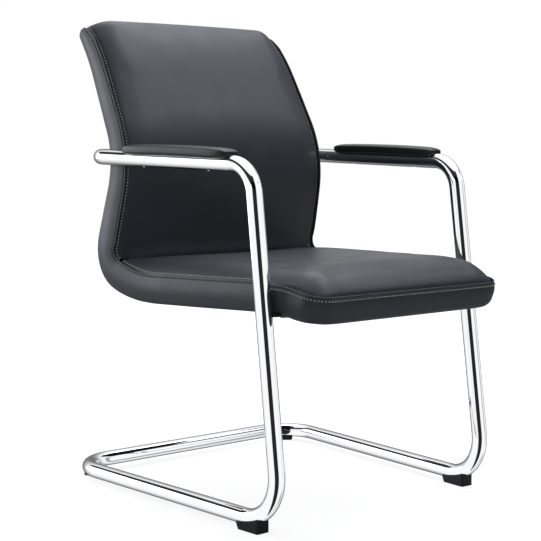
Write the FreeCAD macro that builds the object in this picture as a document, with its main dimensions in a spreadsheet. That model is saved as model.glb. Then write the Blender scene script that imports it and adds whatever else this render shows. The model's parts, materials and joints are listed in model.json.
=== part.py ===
import FreeCAD, Part
import math
import os
import Sketcher
from FreeCAD import Placement, Rotation, Vector

# Cantilever visitor chair, in millimetres: +Z up, the sitter faces -Y and has the right hand at -X.
# The construction datum is the floor under the front corner of the floor loop; the finished chair is then
# moved along Y so that its origin lies under the middle of its depth.

SIZES = {
    # Bent tube frame, to the tube's centre line and to the sharp corners before bending
    "tube_diameter": 30.0,
    "tube_wall": 2.0,
    "foot_height": 7.0,
    "floor_front_width": 518.0,
    "floor_rear_width": 582.0,
    "rail_length": 623.0,
    "leg_setback": 83.0,
    "leg_lean_inward": 8.5,
    "arm_height": 642.0,
    "arm_rise": 10.0,
    "arm_length": 476.0,
    "floor_rear_bend": 75.0,
    "floor_front_bend": 80.0,
    "arm_front_bend": 58.0,
    "arm_rear_bend": 42.0,
    "sleeve_length": 120.0,
    "sleeve_wall": 2.0,
    # Side profile of the upholstered shell, along its outer (rear and under) face
    "seat_under_height": 386.0,
    "seat_length": 405.0,
    "seat_pitch_angle": 1.8,
    "haunch_length": 176.0,
    "haunch_rise_angle": 17.0,
    "waterfall_length": 72.0,
    "waterfall_angle": 10.5,
    "lumbar_height": 221.0,
    "lumbar_lean_angle": 15.7,
    "shoulder_height": 195.0,
    "shoulder_lean_angle": 26.9,
    "crest_height": 61.0,
    "crest_lean_angle": 38.0,
    "waterfall_bend": 100.0,
    "haunch_bend": 250.0,
    "seat_back_bend": 75.0,
    "lumbar_bend": 150.0,
    "shoulder_bend": 400.0,
    # Layers of the upholstered shell
    "pad_thickness": 51.0,
    "cover_thickness": 3.0,
    "shell_thickness": 10.0,
    "band_thickness": 3.0,
    "seat_crown": 24.0,
    "back_crown": 13.0,
    "crown_reach": 120.0,
    "cushion_shoulder": 42.0,
    "cushion_drawn_in": 1.5,
    "seat_side_gap": 3.2,
    "back_side_gap": 12.3,
    "back_top_width": 476.0,
    "seat_corner": 40.0,
    "back_corner": 28.0,
    "shell_rounding": 35.0,
    "waist_bend": 300.0,
    "crest_round": 20.0,
    "front_round": 20.0,
    # Lugs, saddles and their fasteners
    "lug_length": 92.0,
    "lug_width": 40.0,
    "lug_thickness": 5.0,
    "lug_screw_pitch": 36.0,
    "saddle_thickness": 7.0,
    "saddle_length": 90.0,
    "saddle_height": 27.0,
    "saddle_offset": 150.0,
    "saddle_screw_pitch": 50.0,
    "shell_screw_diameter": 8.0,
    "nut_flange_diameter": 22.0,
    "nut_flange_thickness": 1.6,
    "nut_barrel_diameter": 10.4,
    "seat_nut_inset": 0.5,
    "back_nut_inset": 1.5,
    # Armrest pads
    "armrest_length": 312.0,
    "armrest_width": 44.0,
    "armrest_drop": 9.5,
    "armrest_top": 13.5,
    "armrest_end_drop": 5.0,
    "armrest_round": 6.0,
    "armrest_core_length": 250.0,
    "armrest_core_width": 20.0,
    "armrest_core_thickness": 4.0,
    "armrest_screw_diameter": 6.0,
    "armrest_screw_pitch": 190.0,
    # Feet
    "front_foot_width": 29.0,
    "front_foot_length": 60.0,
    "front_foot_heel": 13.0,
    "front_foot_setback": 6.0,
    "rear_foot_width": 22.0,
    "rear_foot_length": 40.0,
    "rear_foot_bend_share": 0.42,
    "foot_saddle": 5.0,
    "foot_draft": 6.0,
    "foot_round": 4.0,
    "foot_recess": 5.0,
    "foot_screw_diameter": 4.2,
    # Working clearances
    "fit_clearance": 0.15,
    "hole_clearance": 0.25,
}

doc = FreeCAD.newDocument("visitor_chair")
sheet = doc.addObject("Spreadsheet::Sheet", "Sizes")
for row, (name, value) in enumerate(SIZES.items(), start=1):
    sheet.set("A%d" % row, name)
    sheet.set("B%d" % row, str(value))
    sheet.setAlias("B%d" % row, name)
doc.recompute()

subparts = []
SIDES = {"right": -1, "left": 1}
FAR = 2000.0


def size(name):
    """A driving dimension, read from the sheet."""
    return float(sheet.get(name))


def cell(name):
    """The expression that names a driving dimension."""
    return "Sizes." + name


def value_of(expression):
    """The value of an expression on the sheet's cells."""
    return float(sheet.evalExpression(expression))


def keep(obj, label):
    """Name a finished sub-part and put it on the list of pieces to write."""
    obj.Label = label
    subparts.append(obj)
    return obj


def feature(name, shape):
    """A helper or sub-part whose shape is worked out from the sheet."""
    obj = doc.addObject("Part::Feature", name)
    obj.Shape = shape
    return obj


def cut(name, base, *tools):
    """The base object with each tool object taken away in turn."""
    result = base
    for index, tool in enumerate(tools):
        step = doc.addObject("Part::Cut", "%s_cut%d" % (name, index))
        step.Base = result
        step.Tool = tool
        result = step
    return result


# Paths of straight runs joined by tangent arcs

def rounded_edges(points, radii, closed=False):
    """Edges along a polyline whose corners are rounded to the given radii."""
    count = len(points)
    ends = []
    for index, corner in enumerate(points):
        radius = radii[index]
        if radius <= 0 or (not closed and index in (0, count - 1)):
            ends.append((corner, corner, None))
            continue
        before = (points[index - 1] - corner).normalize()
        after = (points[(index + 1) % count] - corner).normalize()
        half = before.getAngle(after) / 2
        reach = radius / math.tan(half)
        middle = (before + after).normalize()
        crest = corner + middle * (radius / math.sin(half) - radius)
        ends.append((corner + before * reach, corner + after * reach, crest))
    edges = []
    for index, (start, finish, crest) in enumerate(ends):
        if crest is not None:
            edges.append(Part.Arc(start, crest, finish).toShape())
        if index == count - 1 and not closed:
            break
        following = ends[(index + 1) % count][0]
        if finish.distanceToPoint(following) > 1e-6:
            edges.append(Part.LineSegment(finish, following).toShape())
    return edges


def offset_path(points, radii, distance):
    """The side profile moved sideways towards the sitter, with its bends opened or closed to suit."""
    runs = []
    for start, finish in zip(points, points[1:]):
        along = (finish - start).normalize()
        inward = Vector(0, -along.z, along.y)
        runs.append((start + inward * distance, finish + inward * distance, along))
    moved = [runs[0][0]]
    bends = [0.0]
    for (start, finish, along), (begin, end, onward), radius in zip(runs, runs[1:], radii[1:-1]):
        turn = along.y * onward.z - along.z * onward.y
        gap = begin - start
        step = (gap.y * onward.z - gap.z * onward.y) / turn
        moved.append(start + along * step)
        bends.append(radius - math.copysign(distance, turn))
    moved.append(runs[-1][1])
    bends.append(0.0)
    return moved, bends


# The frame's centre line

TUBE_RADIUS = size("tube_diameter") / 2
RAIL_Z = TUBE_RADIUS + size("foot_height")
FRONT_HALF = size("floor_front_width") / 2
SPLAY = (size("floor_rear_width") / 2 - FRONT_HALF) / size("rail_length")
BACK_BAR_Y = size("leg_setback") + size("arm_length")
BACK_BAR_Z = size("arm_height") + size("arm_rise")


def frame_half_width(y):
    """Half the distance between the floor rails' centre lines at a given depth."""
    return FRONT_HALF + SPLAY * y


def frame_corners(side):
    """The sharp corners of one frame half, from the floor bar's middle to the back bar's middle."""
    arm_front_half = frame_half_width(size("leg_setback")) - size("leg_lean_inward")
    arm_rear_half = frame_half_width(BACK_BAR_Y) - size("leg_lean_inward")
    return [
        Vector(0, size("rail_length"), RAIL_Z),
        Vector(side * frame_half_width(size("rail_length")), size("rail_length"), RAIL_Z),
        Vector(side * FRONT_HALF, 0, RAIL_Z),
        Vector(side * arm_front_half, size("leg_setback"), size("arm_height")),
        Vector(side * arm_rear_half, BACK_BAR_Y, BACK_BAR_Z),
        Vector(0, BACK_BAR_Y, BACK_BAR_Z),
    ]


FRAME_BENDS = [0, size("floor_rear_bend"), size("floor_front_bend"), size("arm_front_bend"),
               size("arm_rear_bend"), 0]


def leg_point(side, z):
    """The point of a leg's centre line at a given height."""
    foot, top = frame_corners(side)[2:4]
    return foot + (top - foot) * ((z - foot.z) / (top.z - foot.z))


def swept_tube(name, path, side, radius_expression):
    """A solid round bar along a frame path."""
    ring = doc.addObject("Part::Circle", name + "_ring")
    ring.setExpression("Radius", radius_expression)
    ring.Placement = Placement(frame_corners(side)[0], Rotation(Vector(0, 0, 1), Vector(1, 0, 0)))
    sweep = doc.addObject("Part::Sweep", name)
    sweep.Sections = [ring]
    sweep.Spine = (path, ["Edge%d" % (n + 1) for n in range(len(path.Shape.Edges))])
    sweep.Solid = True
    sweep.Frenet = False
    return sweep


paths = {}
tube_room = {}
for hand, side in SIDES.items():
    paths[hand] = feature("frame_path_" + hand, Part.Wire(rounded_edges(frame_corners(side), FRAME_BENDS)))
    tube_room[hand] = swept_tube("tube_room_" + hand, paths[hand], side,
                                 cell("tube_diameter") + " / 2 + " + cell("fit_clearance"))


# The upholstered shell's side profile

def shell_profile():
    """Corners and bends of the shell's outer face, from the seat's front edge to the back's crest."""
    def lean(height, degrees):
        return Vector(0, height * math.tan(math.radians(degrees)), height)

    pitch = math.radians(size("seat_pitch_angle"))
    dip = math.radians(size("waterfall_angle"))
    brow = Vector(0, 0, size("seat_under_height"))
    front = brow - Vector(0, math.cos(dip), math.sin(dip)) * size("waterfall_length")
    rise = math.radians(size("haunch_rise_angle"))
    haunch = brow + Vector(0, math.cos(pitch), -math.sin(pitch)) * size("seat_length")
    heel = haunch + Vector(0, math.cos(rise), math.sin(rise)) * size("haunch_length")
    lumbar = heel + lean(size("lumbar_height"), -size("lumbar_lean_angle"))
    shoulder = lumbar + lean(size("shoulder_height"), size("shoulder_lean_angle"))
    crest = shoulder + lean(size("crest_height"), size("crest_lean_angle"))
    points = [front, brow, haunch, heel, lumbar, shoulder, crest]
    bends = ("waterfall_bend", "haunch_bend", "seat_back_bend", "lumbar_bend", "shoulder_bend")
    radii = [0] + [size(bend) for bend in bends] + [0]
    level = Part.makeLine(Vector(0, -FAR, BACK_BAR_Z), Vector(0, FAR, BACK_BAR_Z))
    touch = Part.Wire(rounded_edges(points, radii)).distToShape(level)[1][0][0]
    seat_to_bar = BACK_BAR_Y - TUBE_RADIUS - size("saddle_thickness") - touch.y
    return [point + Vector(0, seat_to_bar, 0) for point in points], radii


PROFILE, PROFILE_BENDS = shell_profile()
FRONT_POINT, BROW, _, HEEL = PROFILE[:4]
CREST = PROFILE[-1]
SEAT_FRONT = FRONT_POINT.y - size("pad_thickness") * math.sin(math.radians(size("waterfall_angle")))
SEAT_DIP = (BROW - FRONT_POINT).normalize()


def slab(inner, outer, width, front_trim=0.0, crest_trim=0.0, front_round=0.0, crest_round=0.0):
    """A layer of the bent shell between two distances from its outer face, cut back and rounded at its ends."""
    points = list(PROFILE)
    points[0] = points[0] + SEAT_DIP * front_trim
    points[-1] = points[-1] - (points[-1] - points[-2]).normalize() * crest_trim
    low, low_bends = offset_path(points, PROFILE_BENDS, inner)
    high, high_bends = offset_path(points, PROFILE_BENDS, outer)
    low_bends[0] = front_round
    low_bends[-1] = high_bends[-1] = crest_round
    edges = rounded_edges(low + high[::-1], low_bends + high_bends[::-1], closed=True)
    face = Part.Face(Part.Wire(Part.sortEdges(edges)[0]))
    face.translate(Vector(-width, 0, 0))
    return face.extrude(Vector(2 * width, 0, 0))


def seat_half_width(y):
    """Half the seat's width at a given depth: parallel to the legs' inner faces, with a gap."""
    leg = leg_point(1, size("seat_under_height"))
    return leg.x - TUBE_RADIUS - size("seat_side_gap") + SPLAY * (y - leg.y)


SEAT_REAR_HALF = seat_half_width(HEEL.y)
SEAT_TOP_Z = size("seat_under_height") + size("pad_thickness")
ARMS_HALF = frame_half_width(BACK_BAR_Y) - size("leg_lean_inward") - TUBE_RADIUS - size("back_side_gap")


def back_half_width(z):
    """Half the back's width at a given height: the seat's width drawn in to the arms, then a taper to the crest."""
    if z <= SEAT_TOP_Z:
        return SEAT_REAR_HALF
    if z <= BACK_BAR_Z:
        return SEAT_REAR_HALF + (ARMS_HALF - SEAT_REAR_HALF) * (z - SEAT_TOP_Z) / (BACK_BAR_Z - SEAT_TOP_Z)
    return ARMS_HALF + (size("back_top_width") / 2 - ARMS_HALF) * (z - BACK_BAR_Z) / (CREST.z - BACK_BAR_Z)


def envelope(inset, open_top=False, rounding=0.0):
    """The room inside the upholstery's outline: the seat's plan and the back's front view, drawn in by an inset.

    Its corners are rounder than the outline's by a rounding.
    """
    front = SEAT_FRONT + inset
    rear = CREST.y + size("pad_thickness")
    plan = [Vector(x * (seat_half_width(y) - inset), y, 0)
            for x, y in ((-1, front), (1, front), (1, rear), (-1, rear))]
    corner = max(size("seat_corner") + rounding - inset, 1.0)
    plan_face = Part.Face(Part.Wire(rounded_edges(plan, [corner, corner, 0, 0], closed=True)))
    plan_block = plan_face.extrude(Vector(0, 0, FAR))
    top = FAR if open_top else CREST.z + size("pad_thickness") * math.sin(math.radians(size("crest_lean_angle")))
    levels = [0, SEAT_TOP_Z, BACK_BAR_Z, top]
    shape = [Vector(back_half_width(z) - inset, 0, z) for z in levels]
    shape += [Vector(-point.x, 0, point.z) for point in shape[::-1]]
    crown = 0.0 if open_top else max(size("back_corner") + rounding - inset, 1.0)
    waist = size("waist_bend")
    bends = [0, waist, waist, crown]
    front_face = Part.Face(Part.Wire(rounded_edges(shape, bends + bends[::-1], closed=True)))
    front_face.translate(Vector(0, -FAR, 0))
    return plan_block.common(front_face.extrude(Vector(0, 2 * FAR, 0)))


# Fastener positions

def under_station(y):
    """The point of the seat's underside at a given depth, and the upward normal there."""
    upright = Part.makeLine(Vector(0, y, 0), Vector(0, y, FAR))
    under_seat = rounded_edges(PROFILE, PROFILE_BENDS)[:3]
    edge = min(under_seat, key=lambda item: item.distToShape(upright)[0])
    place = edge.distToShape(upright)[1][0][0]
    tangent = edge.tangentAt(edge.Curve.parameter(place))
    return place, Vector(0, -tangent.z, tangent.y)


LUG_LEG = leg_point(1, size("seat_under_height"))
LUG_STATION, SEAT_UP = under_station(LUG_LEG.y)
LUG_OUTER = LUG_LEG.x - TUBE_RADIUS / 2
LUG_SCREW_X = [LUG_OUTER - size("lug_length") + size("lug_screw_pitch") / 2 + n * size("lug_screw_pitch")
               for n in range(2)]
SEAT_SCREWS = [Vector(side * x, LUG_STATION.y, LUG_STATION.z) for side in SIDES.values() for x in LUG_SCREW_X]
BACK_SCREW_X = [size("saddle_offset") + (n - 0.5) * size("saddle_screw_pitch") for n in range(2)]
BACK_SCREWS = [Vector(side * x, BACK_BAR_Y, BACK_BAR_Z) for side in SIDES.values() for x in BACK_SCREW_X]
FORWARD = Vector(0, -1, 0)


def rods(points, axis, start, finish, diameter):
    """Round rods at each point, between two distances along an axis."""
    return [Part.makeCylinder(diameter / 2, finish - start, point + axis * start, axis) for point in points]


HEAD_SHARE = 1.8
HEAD_HEIGHT_SHARE = 0.55


def screws(points, axis, seat, tip, diameter):
    """Pan-head screws whose heads bear on a seat and whose shanks reach their tips along the axis."""
    head = HEAD_HEIGHT_SHARE * diameter
    shanks = rods(points, axis, seat, tip, diameter)
    heads = rods(points, axis, seat - head, seat, HEAD_SHARE * diameter)
    return Part.makeCompound([shank.fuse(cap).removeSplitter() for shank, cap in zip(shanks, heads)])


def tee_nuts(points, axis, mouth, face):
    """Flanged nuts set into the shell, flange on its padded face, with a clear bore for the screw."""
    bore = size("shell_screw_diameter") + 2 * size("hole_clearance")
    result = []
    flange_start = face - size("nut_flange_thickness")
    for barrel, flange, hole in zip(
            rods(points, axis, mouth, face, size("nut_barrel_diameter")),
            rods(points, axis, flange_start, face, size("nut_flange_diameter")),
            rods(points, axis, mouth - 1, face + 1, bore)):
        result.append(barrel.fuse(flange).cut(hole).removeSplitter())
    return Part.makeCompound(result)


SHELL_START = size("cover_thickness")
SHELL_END = SHELL_START + size("shell_thickness")
SCREW_HOLE = size("shell_screw_diameter") + 2 * size("hole_clearance")
NUT_HOLE = size("nut_barrel_diameter") + 2 * size("hole_clearance")
FLANGE_HOLE = size("nut_flange_diameter") + 2 * size("hole_clearance")
BACK_FACE = TUBE_RADIUS + size("saddle_thickness")
SEAT_NUT_FACE = SHELL_END - size("seat_nut_inset")
BACK_NUT_FACE = BACK_FACE + SHELL_END - size("back_nut_inset")


def shell_holes(diameter, nut_pockets):
    """Tools that clear the shell's layers for the seat and back screws, and its padded face for the nuts."""
    reach = size("pad_thickness")
    tools = rods(SEAT_SCREWS, SEAT_UP, -reach, SEAT_NUT_FACE, diameter)
    tools += rods(BACK_SCREWS, FORWARD, 0, BACK_NUT_FACE, diameter)
    if nut_pockets:
        flange = size("nut_flange_thickness")
        tools += rods(SEAT_SCREWS, SEAT_UP, SEAT_NUT_FACE - flange, reach, FLANGE_HOLE)
        tools += rods(BACK_SCREWS, FORWARD, BACK_NUT_FACE - flange, BACK_FACE + reach, FLANGE_HOLE)
    return tools


# Frame halves: bent tubes, drilled for the arm pads, the feet and the back screws

def arm_frame(side):
    """The straight of one arm: its middle point, its direction to the rear and its upward normal."""
    front, rear = frame_corners(side)[3:5]
    along = (rear - front).normalize()
    across = Vector(0, 0, 1).cross(along).normalize()
    return front, along, along.cross(across)


def armrest_middle(side):
    """The point of the arm's centre line under the middle of its pad."""
    front, along, up = arm_frame(side)
    leg = (frame_corners(side)[2] - front).normalize()
    bend_reach = size("arm_front_bend") / math.tan(leg.getAngle(along) / 2)
    return front + along * (bend_reach + size("armrest_length") / 2)


def armrest_screw_points(side):
    """The points of an arm's centre line where the pad's screws pass."""
    along = arm_frame(side)[1]
    half = along * (size("armrest_screw_pitch") / 2)
    return [armrest_middle(side) - half, armrest_middle(side) + half]


def front_foot_place(hand):
    """A point of the rail's straight just behind the floor bend, and the way to the rear there."""
    rail = paths[hand].Shape.Edges[2]
    rearward = rail.tangentAt(rail.LastParameter) * -1
    return rail.valueAt(rail.LastParameter) + rearward * size("front_foot_setback"), rearward


def rear_foot_place(hand):
    """A point of the rear corner bend, by its share from the floor bar's end, and the tube's way there."""
    bend = paths[hand].Shape.Edges[1]
    share = size("rear_foot_bend_share")
    parameter = bend.FirstParameter + share * (bend.LastParameter - bend.FirstParameter)
    return bend.valueAt(parameter), bend.tangentAt(parameter)


FOOT_SCREWS = {hand: [front_foot_place(hand)[0], rear_foot_place(hand)[0]] for hand in SIDES}


for hand, side in SIDES.items():
    outside = swept_tube("tube_outside_" + hand, paths[hand], side, cell("tube_diameter") + " / 2")
    inside = swept_tube("tube_inside_" + hand, paths[hand], side,
                        cell("tube_diameter") + " / 2 - " + cell("tube_wall"))
    arm_up = arm_frame(side)[2]
    wide = size("tube_diameter")
    drill = rods(armrest_screw_points(side), arm_up, 0, wide,
                 size("armrest_screw_diameter") + 2 * size("hole_clearance"))
    drill += rods(armrest_screw_points(side), arm_up, -wide, 0,
                  HEAD_SHARE * size("armrest_screw_diameter") + 4 * size("hole_clearance"))
    drill += rods(FOOT_SCREWS[hand], Vector(0, 0, 1), -wide, 0,
                  size("foot_screw_diameter") + 2 * size("hole_clearance"))
    drill += rods([p for p in BACK_SCREWS if p.x * side > 0], FORWARD, -wide, wide, SCREW_HOLE)
    holes = feature("frame_holes_" + hand, Part.makeCompound(drill))
    keep(cut("frame_half_" + hand, outside, inside, holes), "frame_half_" + hand)


# Sketched pieces

def plane_of(body, role):
    """One of a body's own origin planes."""
    return next(item for item in body.Origin.OriginFeatures if item.Role == role)


def add_sketch(body, name, role):
    """A sketch on one of the body's origin planes."""
    sketch = body.newObject("Sketcher::SketchObject", name)
    sketch.AttachmentSupport = [(plane_of(body, role), "")]
    sketch.MapMode = "FlatFace"
    return sketch


def bind(sketch, kind, *where, expression):
    """A dimension of the sketch, driven by an expression on the sheet's cells."""
    index = sketch.addConstraint(Sketcher.Constraint(kind, *where, value_of(expression)))
    sketch.setExpression("Constraints[%d]" % index, expression)


def sketch_ring(body, name, role, *radius_expressions):
    """Circles about the sketch's origin."""
    sketch = add_sketch(body, name, role)
    for index, expression in enumerate(radius_expressions):
        sketch.addGeometry(Part.Circle(Vector(0, 0, 0), Vector(0, 0, 1), 10.0 + index), False)
        sketch.addConstraint(Sketcher.Constraint("Coincident", index, 3, -1, 1))
        bind(sketch, "Radius", index, expression=expression)
    return sketch


def pad(body, name, sketch, length_expression, midplane=True):
    """The sketch thickened by a driven length."""
    solid = body.newObject("PartDesign::Pad", name)
    solid.Profile = sketch
    solid.Midplane = midplane
    solid.setExpression("Length", length_expression)
    return solid


sleeve_places = {
    "floor_bar_sleeve": Vector(0, size("rail_length"), RAIL_Z),
    "back_bar_sleeve": Vector(0, BACK_BAR_Y, BACK_BAR_Z),
}
for label, place in sleeve_places.items():
    body = doc.addObject("PartDesign::Body", label)
    outer = "%s / 2 - %s - %s" % (cell("tube_diameter"), cell("tube_wall"), cell("fit_clearance"))
    ring = sketch_ring(body, label + "_ring", "YZ_Plane", outer, outer + " - " + cell("sleeve_wall"))
    pad(body, label + "_pad", ring, cell("sleeve_length"))
    body.Placement = Placement(place, Rotation())
    keep(body, label)


# Upholstered shell: plywood, covers, side band and the two cushions

WIDE = size("floor_rear_width")
SHELL_TRIM = size("crest_round")
SHELL_INSET = size("band_thickness") + size("fit_clearance")


def drilled(solid, tools):
    """A solid with each hole taken out in turn."""
    for tool in tools:
        solid = solid.cut(tool)
    return solid


def shell_layer(inner, outer):
    """A layer of the shell inside the side band and behind the nose of its front edge."""
    nose = size("front_round") + size("fit_clearance")
    room = envelope(SHELL_INSET, rounding=size("shell_rounding"))
    return slab(inner, outer, WIDE, front_trim=nose, crest_trim=SHELL_TRIM).common(room)


plywood = drilled(shell_layer(SHELL_START, SHELL_END), shell_holes(NUT_HOLE, nut_pockets=True))
keep(feature("plywood_shell", plywood), "plywood_shell")

cover = drilled(shell_layer(0, SHELL_START), shell_holes(SCREW_HOLE, nut_pockets=False))
under_block = Part.makeBox(2 * WIDE, FAR, FAR, Vector(-WIDE, HEEL.y - size("seat_back_bend") - FAR, 0))
keep(feature("underside_cover", cover.common(under_block)), "underside_cover")
keep(feature("rear_cover", cover.cut(under_block)), "rear_cover")

OVER = size("shell_thickness")
band = slab(0, size("pad_thickness"), WIDE, front_round=size("front_round"), crest_round=size("crest_round"))
hollow = slab(SHELL_END, size("pad_thickness") + OVER, WIDE, front_trim=size("band_thickness"), crest_trim=-OVER)
hollow = hollow.fuse(slab(-OVER, SHELL_END, WIDE, front_trim=size("front_round"), crest_trim=-OVER))
band = band.common(envelope(0)).cut(hollow.common(envelope(size("band_thickness"), open_top=True)))
keep(feature("side_band", band), "side_band")

SOFT_GAP = 2 * size("fit_clearance")
CUSHION_DEPTH = size("pad_thickness") - SHELL_END - SOFT_GAP
CUSHION_INSET = size("band_thickness") + SOFT_GAP
BASE_POINTS, BASE_BENDS = offset_path(PROFILE, PROFILE_BENDS, SHELL_END + SOFT_GAP)
BASE_EDGES = rounded_edges(BASE_POINTS, BASE_BENDS)
RUN = sum(edge.Length for edge in BASE_EDGES)
CREASE, BEND_END = (sum(edge.Length for edge in BASE_EDGES[:count]) for count in (5, 6))
BEND_MIDDLE = (CREASE + BEND_END) / 2


def station(run):
    """The point of the shell's padded face at a distance from the seat's front, and the normal there."""
    for edge in BASE_EDGES:
        if run <= edge.Length + 1e-6:
            break
        run -= edge.Length
    parameter = edge.getParameterByLength(min(run, edge.Length))
    tangent = edge.tangentAt(parameter)
    return edge.valueAt(parameter), Vector(0, -tangent.z, tangent.y)


def swell(distance):
    """The share of a cushion's crown at a distance from its edge: a quick rise that ends level."""
    share = min(max(distance / size("crown_reach"), 0.0), 1.0)
    return math.sqrt(1 - (1 - share) ** 2)


def soft_swell(distance):
    """The same for the thinner back: a slower rise that ends level."""
    share = min(max(distance / size("crown_reach"), 0.0), 1.0)
    return 1 - (1 - share) ** 2


def corner_loss(distance, radius):
    """How far a rounded corner draws the side in, at a distance from the end of the outline."""
    if distance >= radius:
        return 0.0
    return radius - math.sqrt(radius ** 2 - (radius - max(distance, 0.0)) ** 2)


def cushion_section(run, half_width, height, crown):
    """A cushion's cross-section: flat base, sides drawn in, rounded shoulders and a crowned face."""
    base, up = station(run)

    def at(x, rise):
        return base + Vector(x, 0, 0) + up * rise

    def arc(start, through, finish):
        return Part.Arc(at(*start), at(*through), at(*finish)).toShape()

    shoulder = size("cushion_shoulder")
    waist = half_width - size("cushion_drawn_in")
    inner = half_width - shoulder
    sunk = size("cover_thickness")
    knee = half_width - 0.36 * shoulder
    knee_rise = height + 0.52 * crown
    inner_rise = height + 0.8 * crown
    return Part.Wire([
        Part.LineSegment(at(-half_width, -sunk), at(half_width, -sunk)).toShape(),
        arc((half_width, -sunk), (waist, height / 2), (half_width, height)),
        arc((half_width, height), (knee, knee_rise), (inner, inner_rise)),
        arc((inner, inner_rise), (0, height + crown), (-inner, inner_rise)),
        arc((-inner, inner_rise), (-knee, knee_rise), (-half_width, height)),
        arc((-half_width, height), (-waist, height / 2), (-half_width, -sunk)),
    ])


def seat_section(run):
    """A section of the seat cushion: it swells from the front edge to a level top that ends at the crease."""
    base, up = station(run)
    middle = base + up * (CUSHION_DEPTH / 2)
    half = min(seat_half_width(middle.y), back_half_width(middle.z)) - CUSHION_INSET
    from_front = run - CUSHION_INSET
    half -= corner_loss(from_front, size("seat_corner"))
    seam = base + up * CUSHION_DEPTH
    crown = (SEAT_TOP_Z + size("seat_crown") - seam.z) / up.z * swell(from_front + SOFT_GAP)
    return cushion_section(run, half, CUSHION_DEPTH, crown)


def back_section(run):
    """A section of the back cushion: it swells from the crease and rolls over at the crest."""
    base, up = station(run)
    middle = base + up * (CUSHION_DEPTH / 2)
    half = min(seat_half_width(middle.y), back_half_width(middle.z)) - CUSHION_INSET
    to_crest = RUN - run
    half -= corner_loss(to_crest, size("back_corner"))
    height = CUSHION_DEPTH - corner_loss(to_crest, size("crest_round"))
    crown = size("back_crown") * min(soft_swell(to_crest), 0.3 + 0.7 * swell(run - BEND_MIDDLE))
    return cushion_section(run, half, height, crown)


def cushion(label, section, runs):
    """A cushion lofted through its sections and trimmed to the room inside the side band."""
    loft = doc.addObject("Part::Loft", label + "_loft")
    loft.Sections = [feature("%s_section%d" % (label, n), section(run)) for n, run in enumerate(runs)]
    loft.Solid = True
    loft.Ruled = False
    trimmed = doc.addObject("Part::Common", label + "_trimmed")
    trimmed.Base = loft
    trimmed.Tool = feature(label + "_room", envelope(CUSHION_INSET))
    under = slab(-OVER, SHELL_END + SOFT_GAP, WIDE, front_trim=-OVER, crest_trim=-OVER)
    return cut(label + "_seated", trimmed, feature(label + "_shell_room", under))


EDGE_SHARES = (0.0, 0.06, 0.16, 0.35, 0.65, 1.0)
seat_runs = [CUSHION_INSET + share * size("crown_reach") for share in EDGE_SHARES]
seat_runs += [seat_runs[-1] + (CREASE - seat_runs[-1]) * n / 6 for n in range(1, 7)]
keep(cushion("seat_cushion", seat_section, seat_runs), "seat_cushion")

back_top = RUN - SOFT_GAP
back_runs = [CREASE, BEND_MIDDLE]
back_runs += [BEND_END + (back_top - size("crown_reach") - BEND_END) * n / 5 for n in range(5)]
back_runs += [back_top - share * size("crown_reach") for share in EDGE_SHARES[::-1]]

CREST_WAY = (PROFILE[-1] - PROFILE[-2]).normalize()
roll = slab(0, size("pad_thickness"), WIDE, crest_round=size("crest_round")).common(envelope(CUSHION_INSET))
roll = roll.cut(slab(-OVER, SHELL_END + SOFT_GAP, WIDE, crest_trim=SHELL_TRIM - SOFT_GAP))
crest_block = Part.makeBox(2 * WIDE, 2 * WIDE, SHELL_TRIM, Vector(-WIDE, -WIDE, -SHELL_TRIM))
crest_block.Placement = Placement(CREST, Rotation(Vector(0, 0, 1), CREST_WAY)) * crest_block.Placement
wrapped = doc.addObject("Part::Fuse", "back_cushion_wrapped")
wrapped.Base = cushion("back_cushion", back_section, back_runs)
wrapped.Tool = feature("back_cushion_roll", roll.common(crest_block))
wrapped.Refine = True
keep(wrapped, "back_cushion")


# Lugs under the seat, saddles on the back bar, and their fasteners

def rounded_block(low, high, radius, direction):
    """A block between two corners, rounded about the given direction, X, Y or Z."""
    block = Part.makeBox(high.x - low.x, high.y - low.y, high.z - low.z, low)
    edges = [edge for edge in block.Edges if abs(edge.tangentAt(edge.FirstParameter).dot(direction)) > 0.99]
    return block.makeFillet(radius, edges)


def mirrored_span(side, start, finish):
    """A span across the chair, in rising order, on one side."""
    return sorted((side * start, side * finish))


for hand, side in SIDES.items():
    inner, outer = mirrored_span(side, LUG_OUTER - size("lug_length"), LUG_OUTER)
    half = size("lug_width") / 2
    plan = rounded_block(Vector(inner, LUG_STATION.y - half, 0), Vector(outer, LUG_STATION.y + half, FAR),
                         size("lug_width") / 4, Vector(0, 0, 1))
    lug = slab(-size("lug_thickness"), 0, WIDE).common(plan)
    lug = drilled(lug, rods(SEAT_SCREWS, SEAT_UP, -size("pad_thickness"), size("pad_thickness"), SCREW_HOLE))
    keep(cut("seat_lug_" + hand, feature("seat_lug_plate_" + hand, lug), tube_room[hand]), "seat_lug_" + hand)

    inner, outer = (size("saddle_offset") + s * size("saddle_length") / 2 for s in (-1, 1))
    inner, outer = mirrored_span(side, inner, outer)
    half = size("saddle_height") / 2
    front_view = rounded_block(Vector(inner, 0, BACK_BAR_Z - half), Vector(outer, BACK_BAR_Y, BACK_BAR_Z + half),
                               size("saddle_height") / 4, Vector(0, 1, 0))
    saddle = slab(-BACK_FACE, -size("fit_clearance"), WIDE).common(front_view)
    saddle = drilled(saddle, rods(BACK_SCREWS, FORWARD, 0, size("pad_thickness"), SCREW_HOLE))
    block = feature("back_saddle_block_" + hand, saddle)
    keep(cut("back_saddle_" + hand, block, tube_room[hand]), "back_saddle_" + hand)

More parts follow.
